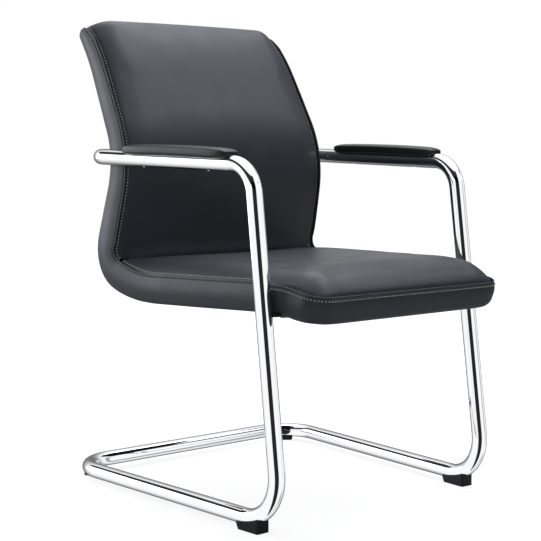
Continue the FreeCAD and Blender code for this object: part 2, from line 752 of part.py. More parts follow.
SHELL_SCREW = size("shell_screw_diameter")
seat_screws = screws(SEAT_SCREWS, SEAT_UP, -size("lug_thickness"), SEAT_NUT_FACE, SHELL_SCREW)
back_screws = screws(BACK_SCREWS, FORWARD, -TUBE_RADIUS, BACK_NUT_FACE, SHELL_SCREW)
seat_nuts = tee_nuts(SEAT_SCREWS, SEAT_UP, SHELL_START, SEAT_NUT_FACE)
back_nuts = tee_nuts(BACK_SCREWS, FORWARD, BACK_FACE + SHELL_START + size("back_nut_inset"), BACK_NUT_FACE)
for label, group in (("seat_screws", seat_screws), ("back_screws", back_screws),
                     ("seat_tee_nuts", seat_nuts), ("back_tee_nuts", back_nuts)):
    keep(feature(label, group), label)


# Armrest pads on their steel cores

def arm_placement(side, rise):
    """The pad's own axes on an arm: X across it, Y along it to the rear, Z up from its centre line."""
    along, up = arm_frame(side)[1:]
    return Placement(armrest_middle(side) + up * rise, Rotation(along.cross(up), along, up, "ZXY"))


def sketch_outline(body, name, role, corners, radii):
    """A closed outline whose corners are expression pairs; a radius bulges the run after its corner outwards."""
    sketch = add_sketch(body, name, role)
    places = [Vector(value_of(across), value_of(upward), 0) for across, upward in corners]
    count = len(corners)
    for index, radius in enumerate(radii):
        start, finish = places[index], places[(index + 1) % count]
        if radius is None:
            sketch.addGeometry(Part.LineSegment(start, finish), False)
            continue
        half = (finish - start) * 0.5
        bulge = value_of(radius)
        sag = bulge - math.sqrt(bulge ** 2 - half.Length ** 2)
        outward = Vector(half.y, -half.x, 0).normalize()
        sketch.addGeometry(Part.Arc(start, start + half + outward * sag, finish), False)
    starts = [1 if radius is None or sketch.Geometry[index].StartPoint.distanceToPoint(places[index]) < 1e-6 else 2
              for index, radius in enumerate(radii)]
    for index in range(count):
        following = (index + 1) % count
        joint = Sketcher.Constraint("Coincident", index, 3 - starts[index], following, starts[following])
        sketch.addConstraint(joint)
    for index, (across, upward) in enumerate(corners):
        bind(sketch, "DistanceX", -1, 1, index, starts[index], expression=across)
        bind(sketch, "DistanceY", -1, 1, index, starts[index], expression=upward)
    for index, radius in enumerate(radii):
        if radius is not None:
            bind(sketch, "Radius", index, expression=radius)
    return sketch


def round_edges(body, name, base, radius_name, chosen):
    """The body's edges that pass a test, rounded to a driven radius."""
    doc.recompute()
    names = ["Edge%d" % (n + 1) for n, edge in enumerate(base.Shape.Edges) if chosen(edge)]
    fillet = body.newObject("PartDesign::Fillet", name)
    fillet.Base = (base, names)
    fillet.setExpression("Radius", cell(radius_name))
    return fillet


def bores(body, name, role, diameter_expression, places):
    """Round holes right through the body, square to one of its origin planes."""
    sketch = add_sketch(body, name + "_circles", role)
    for index, place in enumerate(places):
        sketch.addGeometry(Part.Circle(Vector(0, value_of(place), 0), Vector(0, 0, 1), 1.0), False)
        sketch.addConstraint(Sketcher.Constraint("PointOnObject", index, 3, -2))
        bind(sketch, "DistanceY", -1, 1, index, 3, expression=place)
        bind(sketch, "Radius", index, expression="(%s) / 2" % diameter_expression)
    hole = body.newObject("PartDesign::Pocket", name)
    hole.Profile = sketch
    hole.Type = "ThroughAll"
    hole.Midplane = True
    return hole


ARMREST_LOW = "%s / 2 - %s" % (cell("tube_diameter"), cell("armrest_drop"))
ARMREST_END = "%s / 2 + %s - %s" % (cell("tube_diameter"), cell("armrest_top"), cell("armrest_end_drop"))
ARMREST_HALF = cell("armrest_length") + " / 2"
ARMREST_DEPTH = "(%s + %s - %s)" % (cell("armrest_drop"), cell("armrest_top"), cell("armrest_end_drop"))
armrest_outline = [
    ("-%s + 1.1 * %s" % (ARMREST_HALF, ARMREST_DEPTH), ARMREST_LOW),
    ("%s - 0.5 * %s" % (ARMREST_HALF, ARMREST_DEPTH), ARMREST_LOW),
    ("%s - 0.5 * %s" % (ARMREST_HALF, ARMREST_DEPTH), ARMREST_END),
    ("-%s + 0.3 * %s" % (ARMREST_HALF, ARMREST_DEPTH), ARMREST_END),
]
TOP_CHORD = "(%s - 0.8 * %s)" % (cell("armrest_length"), ARMREST_DEPTH)
TOP_BULGE = "(%s ^ 2 / 4 + %s ^ 2) / (2 * %s)" % (TOP_CHORD, cell("armrest_end_drop"), cell("armrest_end_drop"))
armrest_bulges = [None, "0.56 * " + ARMREST_DEPTH, TOP_BULGE, "0.85 * " + ARMREST_DEPTH]
SCREW_PLACES = ["-%s / 2" % cell("armrest_screw_pitch"), "%s / 2" % cell("armrest_screw_pitch")]


def off_the_underside(edge):
    """True for the edges of the pad's two side faces, apart from those along its flat underside."""
    start, finish = (vertex.Point for vertex in edge.Vertexes)
    low = max(start.z, finish.z) < value_of(ARMREST_LOW) + 0.01
    crosswise = abs(start.x - finish.x) > 0.01
    return not low and not crosswise


for hand, side in SIDES.items():
    label = "armrest_core_" + hand
    core = doc.addObject("PartDesign::Body", label)
    half_width = cell("armrest_core_width") + " / 2"
    half_length = cell("armrest_core_length") + " / 2"
    strip = [(a + half_width, b + half_length) for a, b in (("-", "-"), ("", "-"), ("", ""), ("-", ""))]
    outline = sketch_outline(core, label + "_outline", "XY_Plane", strip, [None] * 4)
    pad(core, label + "_strip", outline, cell("armrest_core_thickness"), midplane=False)
    doc.recompute()
    hole_size = "%s + 2 * %s" % (cell("armrest_screw_diameter"), cell("hole_clearance"))
    core.Tip = bores(core, label + "_holes", "XY_Plane", hole_size, SCREW_PLACES)
    core.Placement = arm_placement(side, TUBE_RADIUS + size("fit_clearance"))
    keep(core, label)

    label = "armrest_pad_" + hand
    body = doc.addObject("PartDesign::Body", label + "_body")
    outline = sketch_outline(body, label + "_outline", "YZ_Plane", armrest_outline, armrest_bulges)
    block = pad(body, label + "_block", outline, cell("armrest_width"))
    body.Tip = round_edges(body, label + "_round", block, "armrest_round", off_the_underside)
    body.Placement = arm_placement(side, 0)
    room = doc.addObject("Part::Box", label + "_core_room")
    play = "2 * " + cell("fit_clearance")
    room.setExpression("Length", "%s + %s" % (cell("armrest_core_width"), play))
    room.setExpression("Width", "%s + %s" % (cell("armrest_core_length"), play))
    room.setExpression("Height", "%s / 2 + %s + %s" % (cell("tube_diameter"), cell("armrest_core_thickness"), play))
    corner = Vector(size("armrest_core_width"), size("armrest_core_length"), 0) * -0.5
    corner -= Vector(size("fit_clearance"), size("fit_clearance"), 0)
    room.Placement = arm_placement(side, 0) * Placement(corner, Rotation())
    keep(cut(label, body, tube_room[hand], room), label)

HEAD_RADIUS = HEAD_SHARE * size("armrest_screw_diameter") / 2
HEAD_SEAT = math.sqrt((TUBE_RADIUS - size("tube_wall")) ** 2 - HEAD_RADIUS ** 2) - size("fit_clearance")
CORE_FACE = TUBE_RADIUS + size("fit_clearance") + size("armrest_core_thickness")
armrest_screws = []
for side in SIDES.values():
    pair = screws(armrest_screw_points(side), arm_frame(side)[2], HEAD_SEAT, CORE_FACE,
                  size("armrest_screw_diameter"))
    armrest_screws += pair.Solids
keep(feature("armrest_screws", Part.makeCompound(armrest_screws)), "armrest_screws")


# Feet

TOE = "(%s - %s)" % (cell("front_foot_length"), cell("front_foot_heel"))
SADDLE_TOP = "(%s + %s)" % (cell("foot_height"), cell("foot_saddle"))
OUTER_BEND = "(%s + %s / 2)" % (cell("floor_front_bend"), cell("tube_diameter"))
BEND_LIFT = "(%s - sqrt(%s ^ 2 - %s ^ 2))" % (OUTER_BEND, OUTER_BEND, TOE)
TOE_END = "-%s - %s" % (TOE, cell("front_foot_setback"))
HEEL_END = "%s - %s" % (cell("front_foot_heel"), cell("front_foot_setback"))
front_foot_outline = [
    (TOE_END, "0 mm"),
    ("%s - %s" % (HEEL_END, cell("foot_draft")), "0 mm"),
    (HEEL_END, SADDLE_TOP),
    (TOE_END, "%s + %s" % (SADDLE_TOP, BEND_LIFT)),
]
REAR_HALF = cell("rear_foot_length") + " / 2"
rear_foot_outline = [
    ("-%s + %s / 2" % (REAR_HALF, cell("foot_draft")), "0 mm"),
    ("%s - %s / 2" % (REAR_HALF, cell("foot_draft")), "0 mm"),
    (REAR_HALF, SADDLE_TOP),
    ("-" + REAR_HALF, SADDLE_TOP),
]


def rising(edge):
    """True for a foot's four corner edges, which rise from the floor."""
    start, finish = (vertex.Point for vertex in edge.Vertexes)
    ends_on_floor = min(start.z, finish.z) < 0.01
    return ends_on_floor and abs(start.z - finish.z) > 1.0


def make_foot(label, outline, width_name, hand, place, along):
    """A moulded foot under the tube: a drafted block, saddled to the tube and recessed for its screw."""
    body = doc.addObject("PartDesign::Body", label + "_body")
    sketch = sketch_outline(body, label + "_outline", "YZ_Plane", outline, [None] * 4)
    block = pad(body, label + "_block", sketch, cell(width_name))
    body.Tip = round_edges(body, label + "_round", block, "foot_round", rising)
    floor_point = Vector(place.x, place.y, 0)
    up = Vector(0, 0, 1)
    body.Placement = Placement(floor_point, Rotation(along.cross(up), along, up, "ZXY"))
    shank = doc.addObject("Part::Cylinder", label + "_shank_hole")
    shank.setExpression("Radius", "%s / 2 + %s" % (cell("foot_screw_diameter"), cell("hole_clearance")))
    shank.setExpression("Height", SADDLE_TOP)
    head = doc.addObject("Part::Cylinder", label + "_head_hole")
    head.setExpression("Radius", "%s + 2 * %s" % (cell("foot_screw_diameter"), cell("hole_clearance")))
    head.setExpression("Height", cell("foot_recess"))
    for tool in (shank, head):
        tool.Placement = Placement(floor_point, Rotation())
    keep(cut(label, body, tube_room[hand], shank, head), label)


for hand in SIDES:
    make_foot("foot_front_" + hand, front_foot_outline, "front_foot_width", hand, *front_foot_place(hand))
    make_foot("foot_rear_" + hand, rear_foot_outline, "rear_foot_width", hand, *rear_foot_place(hand))
foot_screw_points = [point for points in FOOT_SCREWS.values() for point in points]
foot_seat = size("foot_recess") - RAIL_Z
foot_tip = size("tube_wall") - TUBE_RADIUS + 2 * size("foot_screw_diameter")
keep(feature("foot_screws", screws(foot_screw_points, Vector(0, 0, 1), foot_seat, foot_tip,
                                   size("foot_screw_diameter"))), "foot_screws")

# The origin goes under the middle of the chair's depth, then every piece is checked and written
doc.recompute()
whole = Part.makeCompound([obj.Shape for obj in subparts]).optimalBoundingBox(False)
shift = Vector(0, -(whole.YMin + whole.YMax) / 2, 0)
for obj in subparts:
    obj.Placement = Placement(shift, Rotation()) * obj.Placement
doc.recompute()
for obj in doc.Objects:
    if "Invalid" in obj.State or "Error" in obj.State:
        raise RuntimeError("%s failed to build" % obj.Label)
for obj in subparts:
    if obj.Shape.isNull() or not obj.Shape.isValid() or not obj.Shape.Solids:
        raise RuntimeError("%s has no valid solid" % obj.Label)
os.makedirs("parts", exist_ok=True)
for obj in subparts:
    obj.Shape.exportStep("parts/%s.step" % obj.Label)
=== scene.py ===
"""Cantilever visitor chair: the looks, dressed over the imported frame.

The CAD frame carries every rigid piece. This script dresses those pieces with finishes. It replaces the plain
soft solids by sewn leather: a seat panel, a back panel, a band round their edge, a rear cover, an underside
lining, the lapped seam and the topstitching. It also replaces the armrest pads by rounder mouldings. Lengths
are in millimetres and are turned to metres when a mesh is made. Only the studio's are in metres.
"""
import json
import logging
import math
from dataclasses import dataclass, field
from enum import Enum

import bpy
import numpy as np
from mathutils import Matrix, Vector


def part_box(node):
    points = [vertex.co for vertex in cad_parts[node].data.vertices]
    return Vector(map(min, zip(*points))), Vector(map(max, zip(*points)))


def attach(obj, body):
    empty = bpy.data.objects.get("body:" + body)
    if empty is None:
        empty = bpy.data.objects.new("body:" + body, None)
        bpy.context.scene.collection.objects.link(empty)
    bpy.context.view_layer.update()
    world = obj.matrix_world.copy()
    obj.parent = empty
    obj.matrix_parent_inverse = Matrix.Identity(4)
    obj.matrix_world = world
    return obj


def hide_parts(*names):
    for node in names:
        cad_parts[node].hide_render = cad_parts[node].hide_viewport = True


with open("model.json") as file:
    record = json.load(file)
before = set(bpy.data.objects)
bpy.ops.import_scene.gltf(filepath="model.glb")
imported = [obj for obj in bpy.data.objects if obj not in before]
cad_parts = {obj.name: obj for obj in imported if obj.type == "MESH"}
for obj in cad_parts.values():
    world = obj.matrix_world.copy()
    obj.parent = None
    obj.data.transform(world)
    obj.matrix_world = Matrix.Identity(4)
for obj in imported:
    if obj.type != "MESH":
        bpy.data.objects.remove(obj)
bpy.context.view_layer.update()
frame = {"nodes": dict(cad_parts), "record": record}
MM = 0.001
BODY = "root"
LEATHER_SLOT = "charcoal_leather"
WHITE = (1.0, 1.0, 1.0, 1.0)
QUARTER = math.pi / 2
TINY = 1e-6
Array = np.ndarray
Material = bpy.types.Material
Tree = bpy.types.NodeTree
Socket = bpy.types.NodeSocket
Value = Socket | float
Spot = tuple[float, float, float]
Span = tuple[float, float]
Pairs = tuple[Span, ...]
log = logging.getLogger("visitor_chair")


# Lines from whole arrays

def unit(ways: Array) -> Array:
    """Directions in the last axis, brought to length one."""
    return ways / np.maximum(np.linalg.norm(ways, axis=-1, keepdims=True), TINY)


def run_along(line: Array) -> Array:
    """How far along a line each of its points lies."""
    return np.concatenate([[0.0], np.cumsum(np.linalg.norm(np.diff(line, axis=0), axis=1))])


def read_at(at: Array, run: Array, rows: Array) -> Array:
    """Rows of numbers that lie along a run, read off between them, with their parts in the last axis."""
    return np.stack([np.interp(at, run, part) for part in rows.T], axis=-1)


def eased(values: Array, reach: int) -> Array:
    """Values averaged over a raised-cosine window, which rounds their corners."""
    window = np.hanning(2 * reach + 1)
    return np.convolve(np.pad(values, reach, mode="edge"), window / window.sum(), mode="valid")


def sewn_line(grid: Array, rows: slice, column: int, towards: Spot) -> tuple[Array, Array]:
    """A column of a surface's grid, with the outward direction at each of its points.

    Args:
        grid: the surface's points, with xyz in the last axis.
        rows: the rows that are kept.
        column: the column.
        towards: a direction that the surface faces on the whole.

    Returns:
        The line's points and its directions.
    """
    across, along = (np.gradient(grid, axis=axis)[rows, column] for axis in (1, 0))
    up = np.cross(across, along)
    return grid[rows, column], unit(up) * np.sign((up * towards).sum())


# Meshes from whole arrays

def grid_faces(rows: int, columns: int, start: int = 0, closed: bool = False) -> Array:
    """Quads of a grid whose vertices are counted row by row.

    Args:
        rows: number of vertex rows.
        columns: number of vertices in a row.
        start: index of the grid's first vertex.
        closed: whether the last column joins the first, as round a tube.

    Returns:
        One row of four vertex indices for each quad.
    """
    index = start + np.arange(rows * columns).reshape(rows, columns)
    if closed:
        index = np.concatenate([index, index[:, :1]], axis=1)
    corners = (index[:-1, :-1], index[:-1, 1:], index[1:, 1:], index[1:, :-1])
    return np.stack([corner.ravel() for corner in corners], axis=1)


def order(points: Array, quads: Array, towards: Array) -> int:
    """The step through the quads' corners, 1 or -1, that turns them to a direction given at each vertex."""
    one, two, three, four = (points[quads[:, k]] for k in range(4))
    return 1 if (np.cross(three - one, four - two) * towards[quads[:, 0]]).sum() >= 0 else -1


def closed_pad(top: Array, under: Array, up: Array) -> tuple[Array, Array]:
    """The closed mesh between two grids of one size, walled round their rims.

    Args:
        top: the upper grid, with xyz in the last axis.
        under: the lower grid.
        up: the outward direction at each point of the upper grid, one row each.

    Returns:
        The points, the upper grid's first, and the quads, turned outwards.
    """
    rows, columns = top.shape[:2]
    count = rows * columns
    index = np.arange(count).reshape(rows, columns)
    rim = np.concatenate([index[0, :-1], index[:-1, -1], index[-1, :0:-1], index[:0:-1, 0]])
    wall = np.stack([rim, np.roll(rim, -1), np.roll(rim, -1) + count, rim + count], axis=1)
    over = grid_faces(rows, columns)
    points = np.concatenate([top.reshape(-1, 3), under.reshape(-1, 3)])
    quads = np.concatenate([over, grid_faces(rows, columns, count)[:, ::-1], wall[:, ::-1]])
    return points, quads[:, ::order(points, over, up)]


def add_object(name: str, data: bpy.types.ID) -> bpy.types.Object:
    """A new object in the scene.

    Args:
        name: its name.
        data: its mesh, light or camera.

    Returns:
        The object.
    """
    added = bpy.data.objects.new(name, data)
    bpy.context.scene.collection.objects.link(added)
    return added


def make_piece(name: str, points: Array, quads: Array, finish: Material) -> bpy.types.Object:
    """A smooth-shaded mesh object that rides on the chair's body.

    Args:
        name: the piece's name.
        points: vertex positions in millimetres, one row each.
        quads: vertex indices, four to a face, turned outwards.
        finish: the material it is dressed with.

    Returns:
        The new object, at the origin.
    """
    mesh = bpy.data.meshes.new(name)
    mesh.vertices.add(len(points))
    mesh.vertices.foreach_set("co", (points * MM).astype(np.float32).ravel())
    mesh.loops.add(quads.size)
    mesh.loops.foreach_set("vertex_index", quads.astype(np.int32).ravel())
    mesh.polygons.add(len(quads))
    mesh.polygons.foreach_set("loop_start", np.arange(0, quads.size, 4, dtype=np.int32))
    mesh.polygons.foreach_set("use_smooth", np.ones(len(quads), dtype=bool))
    mesh.update(calc_edges=True)
    mesh.validate()
    piece = add_object(name, mesh)
    mesh.materials.append(finish)
    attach(piece, BODY)
    log.info("piece %s: %d vertices", name, len(points))
    return piece


def thicken(piece: bpy.types.Object, thickness: float) -> None:
    """Give a sheet its thickness on the inside of its faces.

    Args:
        piece: the sheet.
        thickness: in millimetres.
    """
    wall = piece.modifiers.new("thickness", "SOLIDIFY")
    wall.thickness = thickness * MM
    wall.offset = -1.0


def subdivide(piece: bpy.types.Object) -> None:
    """Round a piece with one level of subdivision.

    Args:
        piece: the piece.
    """
    smooth = piece.modifiers.new("rounding", "SUBSURF")
    smooth.levels = 1
    smooth.render_levels = 1


# Nodes

def linear(colour: str) -> tuple[float, float, float, float]:
    """The linear colour of an sRGB one, by the standard's own curve.

    Args:
        colour: a hex colour such as #3c3e44.

    Returns:
        Red, green, blue and full alpha.
    """
    channels = [int(colour[k:k + 2], 16) / 255 for k in (1, 3, 5)]
    red, green, blue = (c / 12.92 if c <= 0.04045 else ((c + 0.055) / 1.055) ** 2.4 for c in channels)
    return red, green, blue, 1.0


def set_inputs(tree: Tree, node: bpy.types.Node, inputs: dict) -> None:
    """Set or link a node's inputs.

    Args:
        tree: the node tree.
        node: the node.
        inputs: input name or number to a plain value, or to a socket that is linked to it.
    """
    for name, value in inputs.items():
        if isinstance(value, Socket):
            tree.links.new(value, node.inputs[name])
        else:
            node.inputs[name].default_value = value


def add_node(tree: Tree, kind: str, inputs: dict | None = None, **settings: object) -> bpy.types.Node:
    """Add a node, set its properties, and set or link its inputs.

    Args:
        tree: the node tree.
        kind: the node's type name.
        inputs: plain values or sockets, as set_inputs takes them.
        settings: the node's own properties.

    Returns:
        The new node.
    """
    node = tree.nodes.new(kind)
    for name, value in settings.items():
        setattr(node, name, value)
    set_inputs(tree, node, inputs or {})
    return node


def worked(tree: Tree, operation: str, *values: Value) -> Socket:
    """The result of a maths node on plain values or sockets."""
    return add_node(tree, "ShaderNodeMath", dict(enumerate(values)), operation=operation).outputs[0]


def mixed(tree: Tree, share: Value, first: Value, second: Value) -> Socket:
    """A value mixed from a first and, by the share, a second one."""
    return add_node(tree, "ShaderNodeMix", {0: share, 2: first, 3: second}).outputs[0]


def mapped(tree: Tree, value: Socket, source: Span, target: Span, smooth: bool = False) -> Socket:
    """A value carried over from one range to another and held level past both ends.

    Args:
        tree: the node tree.
        value: the value's socket.
        source: the range it comes from.
        target: the range it goes to.
        smooth: whether it eases in and out.

    Returns:
        The new value's socket.
    """
    inputs = dict(zip(("Value", "From Min", "From Max", "To Min", "To Max"), (value,) + source + target))
    kind = "SMOOTHSTEP" if smooth else "LINEAR"
    return add_node(tree, "ShaderNodeMapRange", inputs, interpolation_type=kind).outputs[0]


# Finishes

def per_metre(millimetres: float) -> float:
    """The texture scale whose cells are about this many millimetres across."""
    return 1.0 / (millimetres * MM)


@dataclass(frozen=True)
class Finish:
    """A surface finish: two close tones mottled together, a fine relief and a varied roughness."""

    name: str
    tones: tuple[str, str]
    mottle_size: float
    relief_size: float
    relief_height: float
    relief_strength: float
    roughness: Span
    metallic: float = 0.0
    sheen: float = 0.0
    cells: bool = False
    stretch: Spot = (1.0, 1.0, 1.0)
    mottle_detail: float = 4.0
    relief_detail: float = 3.0
    mottle_range: Span = (0.3, 0.7)

    def material(self) -> Material:
        """Build the finish as a procedural material on Object coordinates.

        Returns:
            The new material.
        """
        material = bpy.data.materials.new(self.name)
        material.use_nodes = True
        tree = material.node_tree
        place = add_node(tree, "ShaderNodeTexCoord").outputs["Object"]
        place = add_node(tree, "ShaderNodeMapping", {"Vector": place, "Scale": self.stretch}).outputs["Vector"]
        mottle = add_node(tree, "ShaderNodeTexNoise", {"Vector": place, "Scale": per_metre(self.mottle_size),
                                                       "Detail": self.mottle_detail}).outputs[0]
        tone, second_tone = (linear(tone) for tone in self.tones)
        colour = add_node(tree, "ShaderNodeMix", {0: mottle, 6: tone, 7: second_tone},
                          data_type="RGBA").outputs[2]
        grain = {"Vector": place, "Scale": per_metre(self.relief_size)}
        if self.cells:
            relief = add_node(tree, "ShaderNodeTexVoronoi", {**grain, "Randomness": 1.0},
                              feature="SMOOTH_F1").outputs["Distance"]
        else:
            relief = add_node(tree, "ShaderNodeTexNoise", {**grain, "Detail": self.relief_detail}).outputs[0]
        bump = add_node(tree, "ShaderNodeBump", {"Height": relief, "Strength": self.relief_strength,
                                                 "Distance": self.relief_height * MM}).outputs["Normal"]
        set_inputs(tree, tree.nodes["Principled BSDF"], {
            "Base Color": colour, "Normal": bump, "Metallic": self.metallic, "Sheen Weight": self.sheen,
            "Roughness": mapped(tree, mottle, self.mottle_range, self.roughness)})
        return material


# Full-grain leather, dyed through: a soft semi-matte surface with a very fine pebble. The real grain is
# about 0.7 mm and would vanish in the render, so it is drawn at 1.6 mm and kept shallow.
LEATHER = Finish("charcoal_leather", ("#3f4148", "#46484f"), mottle_size=55.0, relief_size=1.6,
                 relief_height=0.10, relief_strength=0.35, roughness=(0.38, 0.46), cells=True)
# Bright chrome plating over polished steel tube: a mirror with the faintest polishing haze.
CHROME = Finish("chrome_plate", ("#eeeeef", "#e6e7ea"), mottle_size=60.0, relief_size=4.0,
                relief_height=0.002, relief_strength=0.05, roughness=(0.0, 0.003), metallic=1.0)
# Moulded polyurethane and nylon, spark-eroded to a satin: black with a broad soft highlight.
PLASTIC = Finish("satin_black_plastic", ("#28292c", "#2e2f32"), mottle_size=30.0, relief_size=0.9,
                 relief_height=0.05, relief_strength=0.25, roughness=(0.36, 0.44))
# Powder-coated steel plate: black, finely pimpled and rather dull.
BLACK_STEEL = Finish("black_powder_coat", ("#131315", "#18181a"), mottle_size=20.0, relief_size=0.8,
                     relief_height=0.06, relief_strength=0.4, roughness=(0.45, 0.55))
# Zinc-plated steel: dull silver with a faint crystalline mottle.
ZINC = Finish("zinc_plated_steel", ("#a9abad", "#8f9296"), mottle_size=3.0, relief_size=0.8,
              relief_height=0.02, relief_strength=0.2, roughness=(0.32, 0.48), metallic=1.0)
# Rotary-cut beech plywood, pressed and left raw: pale brown veneer with drawn-out grain.
PLYWOOD = Finish("moulded_beech_plywood", ("#c79f6b", "#a9804e"), mottle_size=9.0, relief_size=1.2,
                 relief_height=0.05, relief_strength=0.3, roughness=(0.55, 0.7), stretch=(0.12, 1.0, 1.0))
# Spun-bonded lining cloth: black, matte and faintly dimpled by its bonding points, 1.5 mm apart.
LINING = Finish("spun_lining_cloth", ("#121214", "#1c1c1f"), mottle_size=4.0, relief_size=1.5,
                relief_height=0.12, relief_strength=0.6, roughness=(0.85, 0.95), cells=True)
# Bonded polyester sewing thread: warm grey taupe with the twist showing as fine streaks.
THREAD = Finish("taupe_thread", ("#e2d8ce", "#c9bcb0"), mottle_size=1.2, relief_size=0.6,
                relief_height=0.08, relief_strength=0.6, roughness=(0.6, 0.75), sheen=0.2)


# The upholstered shell's side profile and outline

def sloped(length: float, slope: float) -> Array:
    """The step (y, z) of a run with a length, rising to the rear at a slope in degrees."""
    return length * np.array([math.cos(math.radians(slope)), math.sin(math.radians(slope))])


def leaning(height: float, lean: float) -> Array:
    """The step (y, z) of a riser with a height, leaning to the rear by an angle in degrees."""
    return np.array([height * math.tan(math.radians(lean)), height])


@dataclass
class ShellProfile:
    """The shell's outer face seen from the side, from the seat's front edge to the back's crest.

    Straight runs joined by arcs, the same as the CAD shell's. A point of the upholstery has a station s along
    this line and a height n above it, towards the sitter. Under the nose and round the heel the padding under
    the leather swells outwards past the line.
    """

    front_edge: float
    pad_thickness: float = 51.0
    seat_under: float = 386.0
    waterfall: Span = (72.0, 10.5)
    seat: Span = (405.0, -1.8)
    haunch: Span = (176.0, 17.0)
    lumbar: Span = (221.0, -15.7)
    shoulder: Span = (195.0, 26.9)
    crest: Span = (61.0, 38.0)
    bends: tuple[float, ...] = (100.0, 250.0, 75.0, 150.0, 400.0)
    overrun: float = 80.0
    step: float = 1.0
    least_arc: int = 4
    swelling: Pairs = (
        (-20, 5), (20, 5), (60, 6.2), (100, 4.2), (160, 1), (320, 2.6), (440, 3), (470, 4.2), (500, 7.9),
        (530, 12.4), (560, 14.6), (590, 12.8), (620, 10), (650, 5.4), (680, 1.6), (720, 0.6), (760, 0))
    swelling_height: float = 50.0
    swelling_easing: int = 15
    depths: Array = field(init=False)
    length: float = field(init=False)
    stations: Array = field(init=False)
    line: Array = field(init=False)
    normals: Array = field(init=False)

    def __post_init__(self) -> None:
        """Sample the line, with a straight overrun at both ends, and its normals."""
        corners = self.corners()
        first = corners[0] + unit(corners[0] - corners[1]) * self.overrun
        last = corners[-1] + unit(corners[-1] - corners[-2]) * self.overrun
        line = self.rounded([first] + corners[1:-1] + [last])
        run = run_along(line)
        self.length = float(run[-1] - 2 * self.overrun)
        even = np.arange(0.0, run[-1], self.step)
        self.line = read_at(even, run, line)
        self.stations = even - self.overrun
        tangents = unit(np.gradient(self.line, axis=0))
        self.normals = np.stack([-tangents[:, 1], tangents[:, 0]], axis=1)
        self.depths = eased(np.interp(self.stations, *np.array(self.swelling).T), self.swelling_easing)

    def corners(self) -> list[Array]:
        """The line before its corners are rounded: runs by length and slope, then risers by height and lean.

        Returns:
            Its corners and its two ends as (y, z).
        """
        fall = sloped(*self.waterfall)
        front_y = self.front_edge + self.pad_thickness * math.sin(math.radians(self.waterfall[1]))
        brow = np.array([front_y + fall[0], self.seat_under])
        points = [brow - fall, brow]
        for run in (self.seat, self.haunch):
            points.append(points[-1] + sloped(*run))
        for riser in (self.lumbar, self.shoulder, self.crest):
            points.append(points[-1] + leaning(*riser))
        return points

    def rounded(self, corners: list[Array]) -> Array:
        """The line with an arc of the bend's radius in place of each inner corner.

        Args:
            corners: the line's corners and ends.

        Returns:
            Points along it as (y, z).
        """
        parts = [corners[0][None, :]]
        for before, corner, after, radius in zip(corners, corners[1:], corners[2:], self.bends):
            into, out = unit(corner - before), unit(after - corner)
            side = math.copysign(1.0, into[0] * out[1] - into[1] * out[0])
            turn = math.acos(float(np.clip(into @ out, -1.0, 1.0)))
            start = corner - into * radius * math.tan(turn / 2)
            centre = start + side * radius * np.array([-into[1], into[0]])
            angles = side * np.linspace(0.0, turn, max(int(radius * turn / self.step), self.least_arc))
            arm = start - centre
            parts.append(centre + np.stack([arm[0] * np.cos(angles) - arm[1] * np.sin(angles),
                                            arm[0] * np.sin(angles) + arm[1] * np.cos(angles)], axis=1))
        parts.append(corners[-1][None, :])
        return np.concatenate(parts)

    def normal(self, s: Array) -> Array:
        """The direction towards the sitter at stations s, as (y, z) in the last axis."""
        return unit(read_at(s, self.stations, self.normals))

    def upward(self, s: Array) -> Array:
        """The direction towards the sitter at stations s, one row of xyz for each."""
        return np.concatenate([np.zeros(s.shape + (1,)), self.normal(s)], axis=-1).reshape(-1, 3)

    def spot(self, s: Array, n: Array) -> Array:
        """The (y, z) of points at stations s and heights n, in the last axis."""
        return read_at(s, self.stations, self.line) + self.normal(s) * np.asarray(n)[..., None]

    def solid(self, x: Array, s: Array, n: Array) -> Array:
        """Points in space at offsets x from the middle, stations s and heights n, with the swelling."""
        n = n - self.swell_depth(s) * np.maximum(1.0 - n / self.swelling_height, 0.0)
        return np.concatenate([np.asarray(x)[..., None], self.spot(s, n)], axis=-1)

    def swell_depth(self, s: Array) -> Array:
        """How far the leather's outer face swells past the line at stations s."""
        return np.interp(s, self.stations, self.depths)


